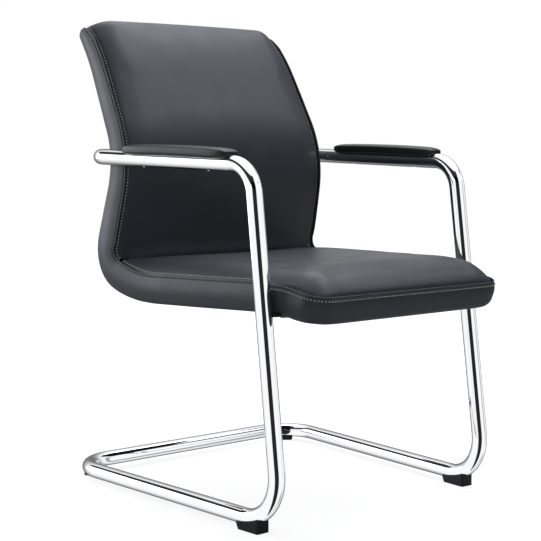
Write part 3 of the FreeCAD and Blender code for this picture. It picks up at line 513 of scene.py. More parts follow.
@dataclass
class Outline:
    """The edge of the upholstery laid flat: half its width at each station, with rounded corners.

    The seat widens to the rear with the frame's rails. The back draws in to the arms and on to the crest.
    """

    profile: ShellProfile
    middle_half: float = 251.2
    seat_splay: float = 0.0514
    seat_rear_half: float = 266.8
    seat_top: float = 437.0
    arms_half: float = 254.5
    arms_height: float = 652.0
    crest_half: float = 244.0
    measured_at: float = 25.0
    easing: int = 70
    front_corner: float = 40.0
    top_corner: float = 15.0
    corner_count: int = 40
    spacing: float = 5.5
    seam_line: Pairs = (
        (-20, 44.5), (0, 45), (60, 44.5), (100, 46.5), (165, 51), (265, 50), (450, 50), (535, 45.5), (575, 46),
        (640, 54), (700, 60), (750, 58.5), (834, 54.5), (990, 49.5), (1045, 46.5), (1092, 42))
    seam_drop: Pairs = ((49, 42), (20, 34), (9, 27), (4.4, 21), (2, 15), (0.5, 8), (0, 3))
    halves: Array = field(init=False)
    seams: Array = field(init=False)

    def __post_init__(self) -> None:
        """Work out the half widths and the seam's heights at the profile's stations, with eased bends."""
        stations = self.profile.stations
        y, z = self.profile.spot(stations, np.full_like(stations, self.measured_at)).T
        seat = self.middle_half + self.seat_splay * y
        crest = self.profile.spot(np.array(self.profile.length), np.array(0.0))[1]
        back = np.interp(z, (self.seat_top, self.arms_height, crest),
                         (self.seat_rear_half, self.arms_half, self.crest_half))
        self.halves = eased(np.minimum(seat, back), self.easing)
        self.seams = eased(np.interp(stations, *np.array(self.seam_line).T), self.easing // 2)

    def half(self, s: Array) -> Array:
        """Half the width at stations s, without the rounded corners."""
        return np.interp(s, self.profile.stations, self.halves)

    def seam(self, s: Array) -> Array:
        """The height of the seam between band and panels, which dives to the rear at the crest.

        Args:
            s: stations.

        Returns:
            The seam's height at each.
        """
        left, heights = np.array(self.seam_drop).T
        dive = np.interp(self.profile.length - s, left[::-1], heights[::-1])
        level = np.interp(s, self.profile.stations, self.seams)
        return np.where(s > self.profile.length - left[0], np.minimum(dive, level), level)

    def path(self) -> tuple[Array, Array]:
        """The open outline from the right top corner, down, round the seat's front and up the left side.

        Returns:
            The points (x, s) at an even spacing, and the outward direction at each.
        """
        top = self.profile.length - self.top_corner
        quarter = np.linspace(0.0, QUARTER, self.corner_count)
        top_centre = self.half(np.array(top)) - self.top_corner
        front_centre = self.half(np.array(self.front_corner)) - self.front_corner
        upper = np.stack([-top_centre - self.top_corner * np.cos(quarter[::-1]),
                          top + self.top_corner * np.sin(quarter[::-1])], axis=1)
        runs = np.arange(top, self.front_corner, -self.profile.step)
        side = np.stack([-self.half(runs), runs], axis=1)
        lower = np.stack([-front_centre - self.front_corner * np.cos(quarter),
                          self.front_corner * (1 - np.sin(quarter))], axis=1)
        right = np.concatenate([upper, side, lower])
        both = np.concatenate([right, right[::-1] * (-1, 1)])
        both = both[np.concatenate([[True], np.hypot(*np.diff(both, axis=0).T) > TINY])]
        run = run_along(both)
        points = read_at(np.linspace(0.0, run[-1], int(run[-1] / self.spacing)), run, both)
        ways = unit(np.gradient(points, axis=0))
        return points, np.stack([ways[:, 1], -ways[:, 0]], axis=1)

    def around(self, out: Array, n: Array) -> Array:
        """Points carried along the outline.

        Args:
            out: offset outwards from the outline, one row for each point of the path.
            n: height above the outer face, with the same shape.

        Returns:
            Positions in space, with xyz in the last axis.
        """
        points, ways = self.path()
        x = points[:, :1] + out * ways[:, :1]
        s = points[:, 1:] + out * ways[:, 1:]
        return self.profile.solid(x, s, n)


# Sewn leather

class Rise(Enum):
    """How full an edge is: the power of the rounded rise from a seam to a panel's face."""

    SOFT = 2.0
    FULL = 3.0


def superellipse(across: Array, power: float) -> Array:
    """One less the distance from the middle, 0 to 1, raised to a power, and then that power's root of it."""
    return (1.0 - across ** power) ** (1.0 / power)


def rise(distance: Array, reach: float, fullness: Rise) -> Array:
    """The share of a panel's height at a distance from its seam: a superellipse that starts upright."""
    return superellipse(1.0 - np.clip(distance / reach, 0.0, 1.0), fullness.value)


def edge_spaced(reach: float, fullness: Rise, count: int) -> Array:
    """Distances from a seam that step evenly round the superellipse of rise()."""
    angles = np.linspace(0.0, QUARTER, count)
    return reach * (1.0 - np.cos(angles) ** (2.0 / fullness.value))


def swell(distance: Array, reach: float) -> Array:
    """The share of a crown at a distance from its edge: a parabola that ends level, or full for no reach."""
    share = np.clip(distance / reach, 0.0, 1.0) if reach else np.ones_like(distance)
    return 1.0 - (1.0 - share) ** 2


@dataclass
class Sheet:
    """A sheet laid out flat as a grid between two stations, inside the outline, with rounded corners.

    A grid point has distances from the side seams and from the two ends. The grid's lines lie close together
    where the sheet rises out of its seams. Corners are rounded by the square-to-disc map.
    """

    name: str
    node: str
    outline: Outline
    start: float
    finish_at: float
    start_corner: float = 0.0
    end_corner: float = 0.0
    side_crown: float = 0.0
    start_crown: float = 0.0
    start_reach: float = 9.0
    end_reach: float = 9.0
    end_rise: Rise = Rise.SOFT
    inset: float = 13.0
    tuck: float = 9.0
    tuck_count: int = 6
    crown_count: int = 9
    end_count: int = 6
    middle_count: int = 60

    def spaced(self, reach: float, crown: float) -> Array:
        """Distances from a seam: close steps up the rise, wider ones over the crown if there is one."""
        crown_steps = np.linspace(reach, crown, self.crown_count if crown else 1)[1:]
        return np.concatenate([edge_spaced(reach, Rise.SOFT, self.tuck_count), crown_steps])

    def lay_out(self) -> tuple[Array, ...]:
        """The grid laid flat.

        Returns:
            Offsets x, stations s, the shares of the crown and of the rise from the groove, and the distances
            from the side seams and from the nearest seam.
        """
        half_width = float(self.outline.half(np.array((self.start + self.finish_at) / 2))) - self.inset
        edge = self.spaced(self.tuck, self.side_crown)
        middle = np.linspace(edge[-1], 2 * half_width - edge[-1], self.middle_count)[1:-1]
        u = np.concatenate([edge, middle, 2 * half_width - edge[::-1]]) / half_width - 1.0
        span = self.finish_at - self.start
        first = self.spaced(self.start_reach, self.start_crown)
        last = edge_spaced(self.end_reach, self.end_rise, self.end_count)
        middle = np.linspace(first[-1], span - last[-1], self.middle_count)[1:-1]
        u, along = np.meshgrid(u, np.concatenate([first, middle, span - last[::-1]]))
        half = self.outline.half(self.start + along) - self.inset
        side = (1.0 - np.abs(u)) * half
        crown = swell(side, self.side_crown) * swell(along, self.start_crown)
        risen = (rise(side, self.tuck, Rise.SOFT) * rise(along, self.start_reach, Rise.SOFT)
                 * rise(span - along, self.end_reach, self.end_rise))
        nearest = np.minimum(side, np.minimum(along, span - along))
        x, s = np.abs(u) * half, self.start + along
        x, s = self.round_corner(x, half, self.start - s, -self.start_corner, s)
        x, s = self.round_corner(x, half, s - self.finish_at, self.end_corner, s)
        return np.sign(u) * x, s, crown, risen, side, nearest

    @staticmethod
    def round_corner(x: Array, half: Array, past_end: Array, corner: float,
                     s: Array) -> tuple[Array, Array]:
        """Draw a square corner in to a round one: a and b in the corner's square become a*sqrt(1-b*b/2) etc.

        Args:
            x: distance from the middle.
            half: half the width there.
            past_end: how far the point lies past the end, which is negative inside.
            corner: the corner's radius, negative at the end where stations begin.
            s: the stations.

        Returns:
            The new distances and stations.
        """
        radius = abs(corner)
        if radius == 0.0:
            return x, s
        a = np.clip((x - half + radius) / radius, 0.0, 1.0)
        b = np.clip((past_end + radius) / radius, 0.0, 1.0)
        both = (a > 0.0) & (b > 0.0)
        shift_x = radius * (a * np.sqrt(1.0 - b * b / 2.0) - a)
        shift_s = radius * (b * np.sqrt(1.0 - a * a / 2.0) - b) * math.copysign(1.0, corner)
        return np.where(both, x + shift_x, x), np.where(both, s + shift_s, s)


@dataclass
class Panel(Sheet):
    """A padded leather panel: a closed pad, crowned over its seams and blown up a little as cloth.

    It rises upright out of the seam's groove to a sill, and from there along a parabola to the face.
    """

    inset: float = 6.8
    end_count: int = 11
    middle_count: int = 36
    sill_rise: float = 0.0
    sill_reach: float = 60.0
    groove: float = 7.0
    floor_height: float = 14.6
    least_depth: float = 1.0
    fill: float = 0.85
    cap: float = 3.5
    held_edge: float = 6.0
    held_reach: float = 40.0
    frames: int = 20
    stitch_column: int = 4
    stitch_rows: tuple[int, int] = (16, -4)
    crown: Array = field(init=False)
    freedom: Array = field(init=False)
    piece: bpy.types.Object = field(init=False)

    def face_height(self, x: Array, s: Array) -> Array:
        """The height of the panel's face away from its seams."""
        raise NotImplementedError

    def place(self, x: Array, s: Array, n: Array, side: Array) -> Array:
        """Points in space, given also their distances from the side seams."""
        return self.outline.profile.solid(x, s, n)

    def build(self, leather: Material) -> None:
        """Make the pad, blow it up as cloth, and let it stand for its CAD solid.

        Args:
            leather: the leather's material.
        """
        x, s, crown, risen, side, nearest = self.lay_out()
        seam = self.outline.seam(s)
        sill = seam + self.sill_rise * swell(s - self.start, self.sill_reach)
        n = seam - self.groove
        n = n + (sill + (self.face_height(x, s) - sill) * crown - n) * risen
        top = self.place(x, s, n, side)
        floor = self.floor_height + self.outline.profile.swell_depth(s)
        under = self.place(x, s, np.minimum(floor, n - self.least_depth), np.zeros_like(side))
        points, quads = closed_pad(top, under, self.outline.profile.upward(s))
        self.piece = make_piece(self.name, points, quads, leather)
        loose = np.clip((nearest.ravel() - self.held_edge) / self.held_reach, 0.0, 1.0)
        self.freedom = np.concatenate([loose, np.zeros(s.size)])
        points = self.blow_up(points)
        self.crown = points[:s.size].reshape(top.shape)
        subdivide(self.piece)
        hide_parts(self.node)

    def blow_up(self, points: Array) -> Array:
        """Blow the pad up as cloth under pressure, with its seams and underside held.

        Args:
            points: the pad's vertices before, in millimetres.

        Returns:
            The vertices after. None moves further than the cap, and those near a seam move less.
        """
        pins = self.piece.vertex_groups.new(name="held")
        pins.add(np.nonzero(self.freedom == 0.0)[0].tolist(), 1.0, "REPLACE")
        cloth = self.piece.modifiers.new("cloth", "CLOTH")
        settings = cloth.settings
        settings.quality = 6
        settings.mass = 0.4
        settings.tension_stiffness = settings.compression_stiffness = 40.0
        settings.shear_stiffness = 20.0
        settings.bending_stiffness = 8.0
        settings.use_pressure = True
        settings.uniform_pressure_force = 4.0
        settings.vertex_group_mass = pins.name
        settings.effector_weights.gravity = 0.0
        cloth.collision_settings.use_collision = False
        scene = bpy.context.scene
        cloth.point_cache.frame_start, cloth.point_cache.frame_end = 1, self.frames
        for frame_number in range(1, self.frames + 1):
            scene.frame_set(frame_number)
        blown = self.piece.evaluated_get(bpy.context.evaluated_depsgraph_get()).data
        after = np.empty(points.size, dtype=np.float32)
        blown.vertices.foreach_get("co", after)
        moved = after.reshape(-1, 3) / MM - points
        far = np.linalg.norm(moved, axis=1)
        log.info("%s swelled by up to %.1f mm before the cap", self.name, far.max())
        share = self.cap * np.tanh(far / self.cap) / np.maximum(far, TINY)
        points = points + moved * (share * self.freedom)[:, None]
        self.piece.modifiers.remove(cloth)
        self.piece.vertex_groups.remove(pins)
        scene.frame_set(1)
        self.piece.data.vertices.foreach_set("co", (points * MM).astype(np.float32).ravel())
        self.piece.data.update()
        return points


@dataclass
class SeatPanel(Panel):
    """The seat's top panel: level and full, rounded down to the front seam, tucked into the crease."""

    top_height: float = 463.5
    slope: float = 0.012
    dome: float = 1.0
    dip: float = 5.0
    side_dip: float = 5.0
    dish_start: float = 200.0
    dish_half: float = 240.0
    dish_power: float = 1.5

    def face_height(self, x: Array, s: Array) -> Array:
        """The height, along the shell's normal, to a nearly level face, domed in front and dished behind.

        Args:
            x: offsets from the middle.
            s: stations.

        Returns:
            The face's heights.
        """
        base = self.outline.profile.spot(s, np.zeros_like(s))[..., 1]
        tilt = self.outline.profile.normal(s)[..., 1]
        rear = np.clip((s - self.dish_start) / (self.finish_at - self.dish_start), 0.0, 1.0) ** 2
        across = np.clip(1.0 - (x / self.dish_half) ** 2, 0.0, 1.0) ** self.dish_power
        top = self.top_height - self.slope * s - self.side_dip * rear ** 2
        top = top + (self.dome * (1.0 - rear) - self.dip * rear) * across
        return (top - base) / tilt


@dataclass
class BackPanel(Panel):
    """The back's front panel: slim and evenly crowned, rolled over the crest to the rear."""

    face: float = 60.0
    dome: float = 4.0
    dome_half: float = 250.0
    foot: float = 12.0
    foot_top: float = 800.0
    bend_end: float = 690.0
    foot_run: float = 34.0
    foot_side: float = 30.0
    roll: float = 15.0
    roll_run: float = 30.0

    def face_height(self, x: Array, s: Array) -> Array:
        """An even pad over the shell with a shallow dome across, thicker towards its foot at the crease."""
        near_foot = np.clip((self.foot_top - s) / (self.foot_top - self.start), 0.0, 1.0)
        return self.face + self.dome * (1.0 - (x / self.dome_half) ** 2) + self.foot * near_foot ** 2

    def place(self, x: Array, s: Array, n: Array, side: Array) -> Array:
        """The crest's end is turned over to the rear, and the foot runs straight down to the seat.

        Points low on the crest's end are drawn in along a quarter round to the rear face. Below the end of the
        shell's bend the points leave the bend for a straight line down, the more the further they lie from the
        side seams.

        Args:
            x: offsets from the middle.
            s: stations.
            n: heights.
            side: distances from the side seams.

        Returns:
            Positions in space.
        """
        profile = self.outline.profile
        low = np.clip(self.roll - n, 0.0, self.roll)
        drawn_in = self.roll - np.sqrt(self.roll ** 2 - low ** 2)
        near_end = np.clip((s - profile.length + self.roll_run) / self.roll_run, 0.0, 1.0)
        bent = profile.solid(x, s - drawn_in * near_end, n)
        below = np.clip((self.bend_end - s) / (self.bend_end - self.start), 0.0, 1.0)
        straight = profile.solid(x, np.maximum(s, self.bend_end), n)
        normal = profile.normal(np.array(self.bend_end))
        straight[..., 1] -= normal[1] * self.foot_run * below
        straight[..., 2] += normal[0] * self.foot_run * below
        share = swell(side, self.foot_side)[..., None] * (below > 0.0)[..., None]
        return bent + (straight - bent) * share


@dataclass
class FlatCover(Sheet):
    """A thin cover on the outer face between two stations, tucked in at its edges."""

    slot: str = LEATHER_SLOT
    proud: float = 0.9
    tucked: float = 0.9
    thickness: float = 1.2

    def build(self, finish: Material) -> None:
        """Lay the grid on the outer face, a little proud of it in the field and tucked in at the edges.

        Args:
            finish: the cover's material.
        """
        x, s, _, risen, _, _ = self.lay_out()
        n = self.tucked - (self.tucked + self.proud) * risen
        points = self.outline.profile.solid(x, s, n).reshape(-1, 3)
        quads = grid_faces(*x.shape)
        quads = quads[:, ::order(points, quads, -self.outline.profile.upward(s))]
        piece = make_piece(self.name, points, quads, finish)
        thicken(piece, self.thickness)
        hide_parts(self.node)


@dataclass
class EdgeBand:
    """The leather band round the pad: turned under at its outer edge, slightly full, rolled into the seam."""

    outline: Outline
    turned_under: float = 12.0
    side_round: float = 8.0
    front_round: float = 14.0
    front_power: float = 1.5
    corner_round: float = 14.0
    top_round: float = 14.0
    round_easing: int = 9
    fullness: float = 2.4
    full_height: float = 30.0
    seam_roll: float = 4.0
    roll_share: float = 0.3
    groove: float = 7.0
    groove_share: float = 0.2
    groove_lean: float = 0.3
    strip_count: int = 4
    round_count: int = 7
    wall_count: int = 8
    thickness: float = 1.0
    inside: Spot = (0.0, 150.0, 620.0)
    stitch_column: int = -8
    grid: Array = field(init=False)

    def build(self, leather: Material) -> None:
        """Carry the band's section along the outline.

        The section runs from a flat strip under the edge round a quarter circle, up a wall that swells by a
        half sine, and over a small quarter circle into the seam's groove. The first circle is larger at the
        front and the top, and most of all halfway round the front corners, where the outward direction's two
        parts multiply to a half.

        Args:
            leather: the leather's material.
        """
        points, ways = self.outline.path()
        seam = self.outline.seam(points[:, 1])[:, None]
        front = np.clip(-ways[:, 1:], 0.0, 1.0) ** self.front_power
        top = np.clip(ways[:, 1:], 0.0, 1.0)
        edge = self.side_round + (self.front_round - self.side_round) * front
        edge = edge + (self.top_round - self.side_round) * top
        corner = self.corner_round * 4.0 * (ways[:, :1] * np.minimum(ways[:, 1:], 0.0)) ** 2
        edge = eased((edge + corner)[:, 0], self.round_easing)[:, None]
        roll = np.minimum(self.seam_roll, self.roll_share * seam)
        shoulder = seam - roll
        turn = np.arccos(1.0 - np.clip(shoulder / edge, 0.0, 1.0)) * np.linspace(0.0, 1.0, self.round_count)
        quarter = np.linspace(0.0, QUARTER, self.round_count)
        up_wall = np.linspace(0.0, 1.0, self.wall_count)[1:-1]
        flat = -edge - self.turned_under * np.linspace(1.0, 0.0, self.strip_count)[:-1]
        under = np.concatenate([flat, edge * (np.sin(turn) - 1.0)], axis=1)
        under_n = np.concatenate([np.zeros_like(flat), edge * (1.0 - np.cos(turn))], axis=1)
        last, last_n = under[:, -1:], under_n[:, -1:]
        high = np.clip((shoulder - edge) / self.full_height, 0.0, 1.0)
        wall = last + (self.fullness * np.sin(math.pi * up_wall)) * high
        wall_n = last_n + (shoulder - last_n) * up_wall
        tuck = last + roll * (np.cos(quarter) - 1.0)
        tuck_n = shoulder + roll * np.sin(quarter)
        deep = tuck[:, -1:] - self.groove_lean
        deep_n = np.maximum(seam - self.groove, self.groove_share * seam)
        out = np.concatenate([under, wall, tuck, deep], axis=1)
        self.grid = self.outline.around(out, np.concatenate([under_n, wall_n, tuck_n, deep_n], axis=1))
        points = self.grid.reshape(-1, 3)
        quads = grid_faces(*out.shape)
        quads = quads[:, ::order(points, quads, points - np.array(self.inside))]
        piece = make_piece("edge_band", points, quads, leather)
        thicken(piece, self.thickness)
        subdivide(piece)
        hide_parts("side_band")


@dataclass
class SeamLap:
    """The folded lap that stands up as a thin ridge between the band and the panels."""

    outline: Outline
    out: float = -2.6
    lift: float = 1.2
    radius: float = 1.6
    depth: float = 8.0
    depth_share: float = 0.6
    root_share: float = 0.4
    root_below: float = -0.1
    sides: int = 10

    def build(self, leather: Material) -> None:
        """Carry an upright tongue along the seam: a round top over a narrower root that goes down between.

        Args:
            leather: the leather's material.
        """
        points, _ = self.outline.path()
        seam = self.outline.seam(points[:, 1])[:, None]
        angles = np.linspace(0.0, 2 * math.pi, self.sides, endpoint=False)
        rising = np.sin(angles)
        width = np.where(rising < self.root_below, self.root_share, 1.0) * self.radius
        depth = np.where(rising > 0.0, self.radius, np.minimum(self.depth, self.depth_share * seam))
        n = seam + self.lift + depth * rising
        grid = self.outline.around(np.broadcast_to(self.out + width * np.cos(angles), n.shape), n)
        points = grid.reshape(-1, 3)
        quads = grid_faces(*n.shape, closed=True)
        outward = points - np.repeat(grid.mean(axis=1), self.sides, axis=0)
        quads = quads[:, ::order(points, quads, outward)]
        subdivide(make_piece("seam_lap", points, quads, leather))


@dataclass
class Topstitch:
    """A row of separate stitches: short round bars that dip into the leather at both ends."""

    pitch: float = 6.4
    length: float = 3.3
    radius: float = 1.15
    end_radius: float = 0.45
    arch: float = 0.9
    sunk: float = 0.1
    ahead: float = 0.5
    sides: int = 6
    stations: int = 5

    def bars(self, line: Array, up: Array) -> tuple[Array, Array]:
        """Stitches along one line: six-sided rings about an arched middle line, closed at both ends.

        Args:
            line: points along the sewn line.
            up: the leather's outward direction at each point.

        Returns:
            Vertices and quads of all its stitches.
        """
        run = run_along(line)
        starts = np.arange(self.pitch, run[-1] - self.pitch, self.pitch)
        along = np.linspace(0.0, 1.0, self.stations)
        at = (starts[:, None] + along[None, :] * self.length).ravel()
        centre = read_at(at, run, line)
        ahead = unit(read_at(at + self.ahead, run, line) - centre)
        lift = read_at(at, run, up)
        lift = unit(lift - (lift * ahead).sum(axis=1, keepdims=True) * ahead)
        side = np.cross(ahead, lift)
        arch = np.tile(np.sin(math.pi * along), len(starts))
        centre = centre + lift * (self.arch * arch - self.sunk)[:, None]
        thick = self.radius * (self.end_radius + (1.0 - self.end_radius) * arch)
        angles = np.linspace(0.0, 2 * math.pi, self.sides, endpoint=False)
        ring = (np.cos(angles)[None, :, None] * side[:, None, :]
                + np.sin(angles)[None, :, None] * lift[:, None, :]) * thick[:, None, None]
        points = (centre[:, None, :] + ring).reshape(-1, 3)
        near = np.array([[0, 1, 2, 3], [0, 3, 4, 5]])
        far = near[:, ::-1] + (self.stations - 1) * self.sides
        one = np.concatenate([grid_faces(self.stations, self.sides, closed=True), near, far])
        firsts = self.stations * self.sides * np.arange(len(starts))
        return points, (one[None, :, :] + firsts[:, None, None]).reshape(-1, 4)

    def build(self, name: str, lines: list[tuple[Array, Array]], thread: Material) -> None:
        """All the stitches of several lines as one piece.

        Args:
            name: the piece's name.
            lines: the sewn lines, each with its outward directions.
            thread: the thread's material.
        """
        points, quads, count = [], [], 0
        for line, up in lines:
            bar_points, bar_quads = self.bars(line, up)
            points.append(bar_points)
            quads.append(bar_quads + count)
            count += len(bar_points)
        make_piece(name, np.concatenate(points), np.concatenate(quads), thread)


class Upholstery:
    """The sewn leather over the plywood shell."""

    crease = 574.0
    panel_gap = 0.4
    cover_gap = 0.3
    front_run = 150.0
    sitter = (0.0, -0.4, 1.0)
    forwards = (0.0, -1.0, 0.0)

    def __init__(self) -> None:
        """Read where the shell is from the CAD band, and lay out its profile and outline."""
        low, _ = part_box("side_band")
        self.profile = ShellProfile(front_edge=low.y / MM)
        self.outline = Outline(self.profile)

    def build(self, leather: Material, thread: Material,
              lining: Material) -> None:
        """Build the panels, the band, the seams, the stitching and the covers.

        Args:
            leather: the leather's material.
            thread: the sewing thread's material.
            lining: the underside lining's material.
        """
        seat = SeatPanel("seat_panel", "seat_cushion", self.outline, start=6.8,
                         finish_at=self.crease - self.panel_gap, start_corner=33.0, side_crown=50.0,
                         start_crown=78.0, start_reach=6.0, end_reach=2.5, tuck=5.0, sill_rise=2.2)
        back = BackPanel("back_panel", "back_cushion", self.outline, start=self.crease + self.panel_gap,
                         finish_at=self.profile.length, end_corner=14.0, side_crown=50.0, start_reach=2.5,
                         end_reach=45.0, end_rise=Rise.FULL, tuck=9.0, groove=9.0, stitch_column=3,
                         stitch_rows=(3, -5))
        band = EdgeBand(self.outline)
        for piece in (seat, back, band, SeamLap(self.outline)):
            piece.build(leather)
        self.stitch(seat, back, band, thread)
        FlatCover("rear_leather", "rear_cover", self.outline, start=self.crease + self.cover_gap,
                  finish_at=self.profile.length - 13.0, end_corner=31.0).build(leather)
        FlatCover("underside_lining", "underside_cover", self.outline, start=34.0,
                  finish_at=self.crease - self.cover_gap, start_corner=20.0, slot="lining_cloth").build(lining)

    def stitch(self, seat: Panel, back: Panel, band: EdgeBand, thread: Material) -> None:
        """Topstitch the panels beside their side seams, and the band below the seat's front seam.

        Args:
            seat: the seat's panel.
            back: the back's panel.
            band: the band.
            thread: the sewing thread's material.
        """
        lines = [sewn_line(panel.crown, slice(*panel.stitch_rows), column, self.sitter)
                 for panel in (seat, back) for column in (panel.stitch_column, -1 - panel.stitch_column)]
        Topstitch().build("panel_stitches", lines, thread)
        points, _ = self.outline.path()
        front = np.nonzero(points[:, 1] < self.front_run)[0]
        line = sewn_line(band.grid, slice(front[0], front[-1] + 1), band.stitch_column, self.forwards)
        Topstitch().build("front_stitches", [line], thread)


# Rigid pieces

class RigidPieces:
    """The CAD nodes, each dressed with the finish of its record slot."""

    finishes = {
        "chrome_tube": CHROME,
        "black_steel": BLACK_STEEL,
        "black_plastic": PLASTIC,
        "zinc_steel": ZINC,
        "moulded_plywood": PLYWOOD,
        "charcoal_leather": LEATHER,
        "lining_cloth": LINING,
    }

    def __init__(self) -> None:
        """Make one material for each slot."""
        self.materials = {slot: finish.material() for slot, finish in self.finishes.items()}

    def dress(self) -> None:
        """Put each slot's material on its CAD nodes."""
        for subpart in frame["record"]["subparts"]:
            node = frame["nodes"][subpart["node"]]
            node.data.materials.clear()
            node.data.materials.append(self.materials[subpart["material_slot"]])
            log.info("dressed %s as %s", subpart["node"], subpart["material_slot"])


@dataclass
class ArmPad:
    """A moulded armrest pad shaped like a shallow boat, broad over the arm tube.

    Over its width a and length b, each from -1 to 1, the top rises from the rim as a superellipse across, and
    the belly falls below the rim likewise. Both come back to the rim at the pad's two ends, where it narrows.
    The rim tilts evenly along the pad and falls to both ends with b squared.
    """

    node: str
    crown: float = 7.0
    crown_power: float = 2.6
    crown_end_power: int = 12
    belly: float = 9.5
    belly_power: float = 3.0
    belly_end_power: int = 8
    rim: float = 5.5
    end_fall: float = 2.4
    tilt: float = 3.1
    end_width: float = 0.55
    end_width_power: int = 9
    rows: int = 41
    columns: int = 21

    def build(self, plastic: Material) -> None:
        """Shape the pad along its CAD solid, which it stands for.

        Args:
            plastic: the pad's material.
        """
        mesh = frame["nodes"][self.node].data
        solid = np.empty(3 * len(mesh.vertices), dtype=np.float32)
        mesh.vertices.foreach_get("co", solid)
        solid = solid.reshape(-1, 3).astype(float) / MM
        low, high = solid.min(axis=0), solid.max(axis=0)
        length = high[1] - low[1]
        splay = np.polyfit(solid[:, 1], solid[:, 0], 1)
        half_width = (high[0] - low[0] - abs(splay[0]) * length) / 2
        spread = (np.sin(np.linspace(-QUARTER, QUARTER, count)) for count in (self.rows, self.columns))
        b, a = np.meshgrid(*spread, indexing="ij")
        y = (low[1] + high[1]) / 2 + b * length / 2
        narrowing = np.sqrt(1.0 - np.abs(b) ** self.end_width_power)
        x = np.polyval(splay, y) + a * half_width * (self.end_width + (1.0 - self.end_width) * narrowing)
        middle = high[2] - self.crown - self.rim / 2 - self.end_fall * b ** 2 + self.tilt * b
        crown = self.crown * superellipse(np.abs(a), self.crown_power)
        crown = crown * np.sqrt(1.0 - b ** self.crown_end_power)
        belly = self.belly * superellipse(np.abs(a), self.belly_power)
        belly = belly * np.sqrt(1.0 - b ** self.belly_end_power)
        top = np.stack([x, y, middle + self.rim / 2 + crown], axis=-1)
        under = np.stack([x, y, middle - self.rim / 2 - belly], axis=-1)
        points, quads = closed_pad(top, under, np.tile((0.0, 0.0, 1.0), (b.size, 1)))
        piece = make_piece(self.node.replace("armrest_pad", "arm_pad"), points, quads, plastic)
        subdivide(piece)
        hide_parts(self.node)


# Studio

@dataclass(frozen=True)
class Gap:
    """A dark gap between softboxes as mirrors see it, in degrees.

    An upright gap has its middle at a compass turn and lies between two heights above the horizon. A level one
    has its middle at a height and lies between two turns. Each has a half width at both of its ends.
    """

    upright: bool
    middle: float
    half_widths: Span
    level: float
    between: Span
    softness: float = 1.0

    def light(self, tree: Tree, turn: Socket,
              height: Socket) -> Socket:
        """How much light is left in a direction: the gap's level inside it, and all of it outside.

        Args:
            tree: the surround's node tree.
            turn: the direction's compass turn.
            height: its height above the horizon.

        Returns:
            The share of the light.
        """
        across, along = (turn, height) if self.upright else (height, turn)
        low, high = (math.radians(end) for end in self.between)
        half = mapped(tree, along, (low, high), tuple(math.radians(width) for width in self.half_widths))
        off = worked(tree, "ABSOLUTE", worked(tree, "SUBTRACT", across, math.radians(self.middle)))
        soft = math.radians(self.softness)
        light = mapped(tree, worked(tree, "SUBTRACT", off, half), (-soft, soft), (self.level, 1.0))
        inside = worked(tree, "COMPARE", along, (low + high) / 2, (high - low) / 2)
        return mixed(tree, inside, 1.0, light)


@dataclass(frozen=True)
class Softbox:
    """A square lamp at a place, aimed at a point. Without shine it is cross-polarised. Chrome mirrors none."""

    name: str
    place: Spot
    aim: Spot
    size: float
    watts: float
    shine: bool = True
    tone: str = "#f2f6ff"

    def build(self) -> None:
        """Add the lamp, dark to rays that come from a mirror."""
        light = bpy.data.lights.new(self.name, "AREA")
        light.use_nodes = True
        tree = light.node_tree
        singular = add_node(tree, "ShaderNodeLightPath").outputs["Is Singular Ray"]
        set_inputs(tree, tree.nodes["Emission"], {"Strength": worked(tree, "SUBTRACT", 1.0, singular)})
        light.size = self.size
        light.energy = self.watts
        light.color = linear(self.tone)[:3]
        lamp = add_object(self.name, light)
        way = unit(np.array(self.aim) - np.array(self.place))
        lamp.location = self.place
        lamp.visible_glossy = self.shine
        lamp.rotation_euler = (math.acos(-way[2]), 0.0, math.atan2(way[1], way[0]) - QUARTER)
        log.info("lamp %s: %.0f W", self.name, self.watts)


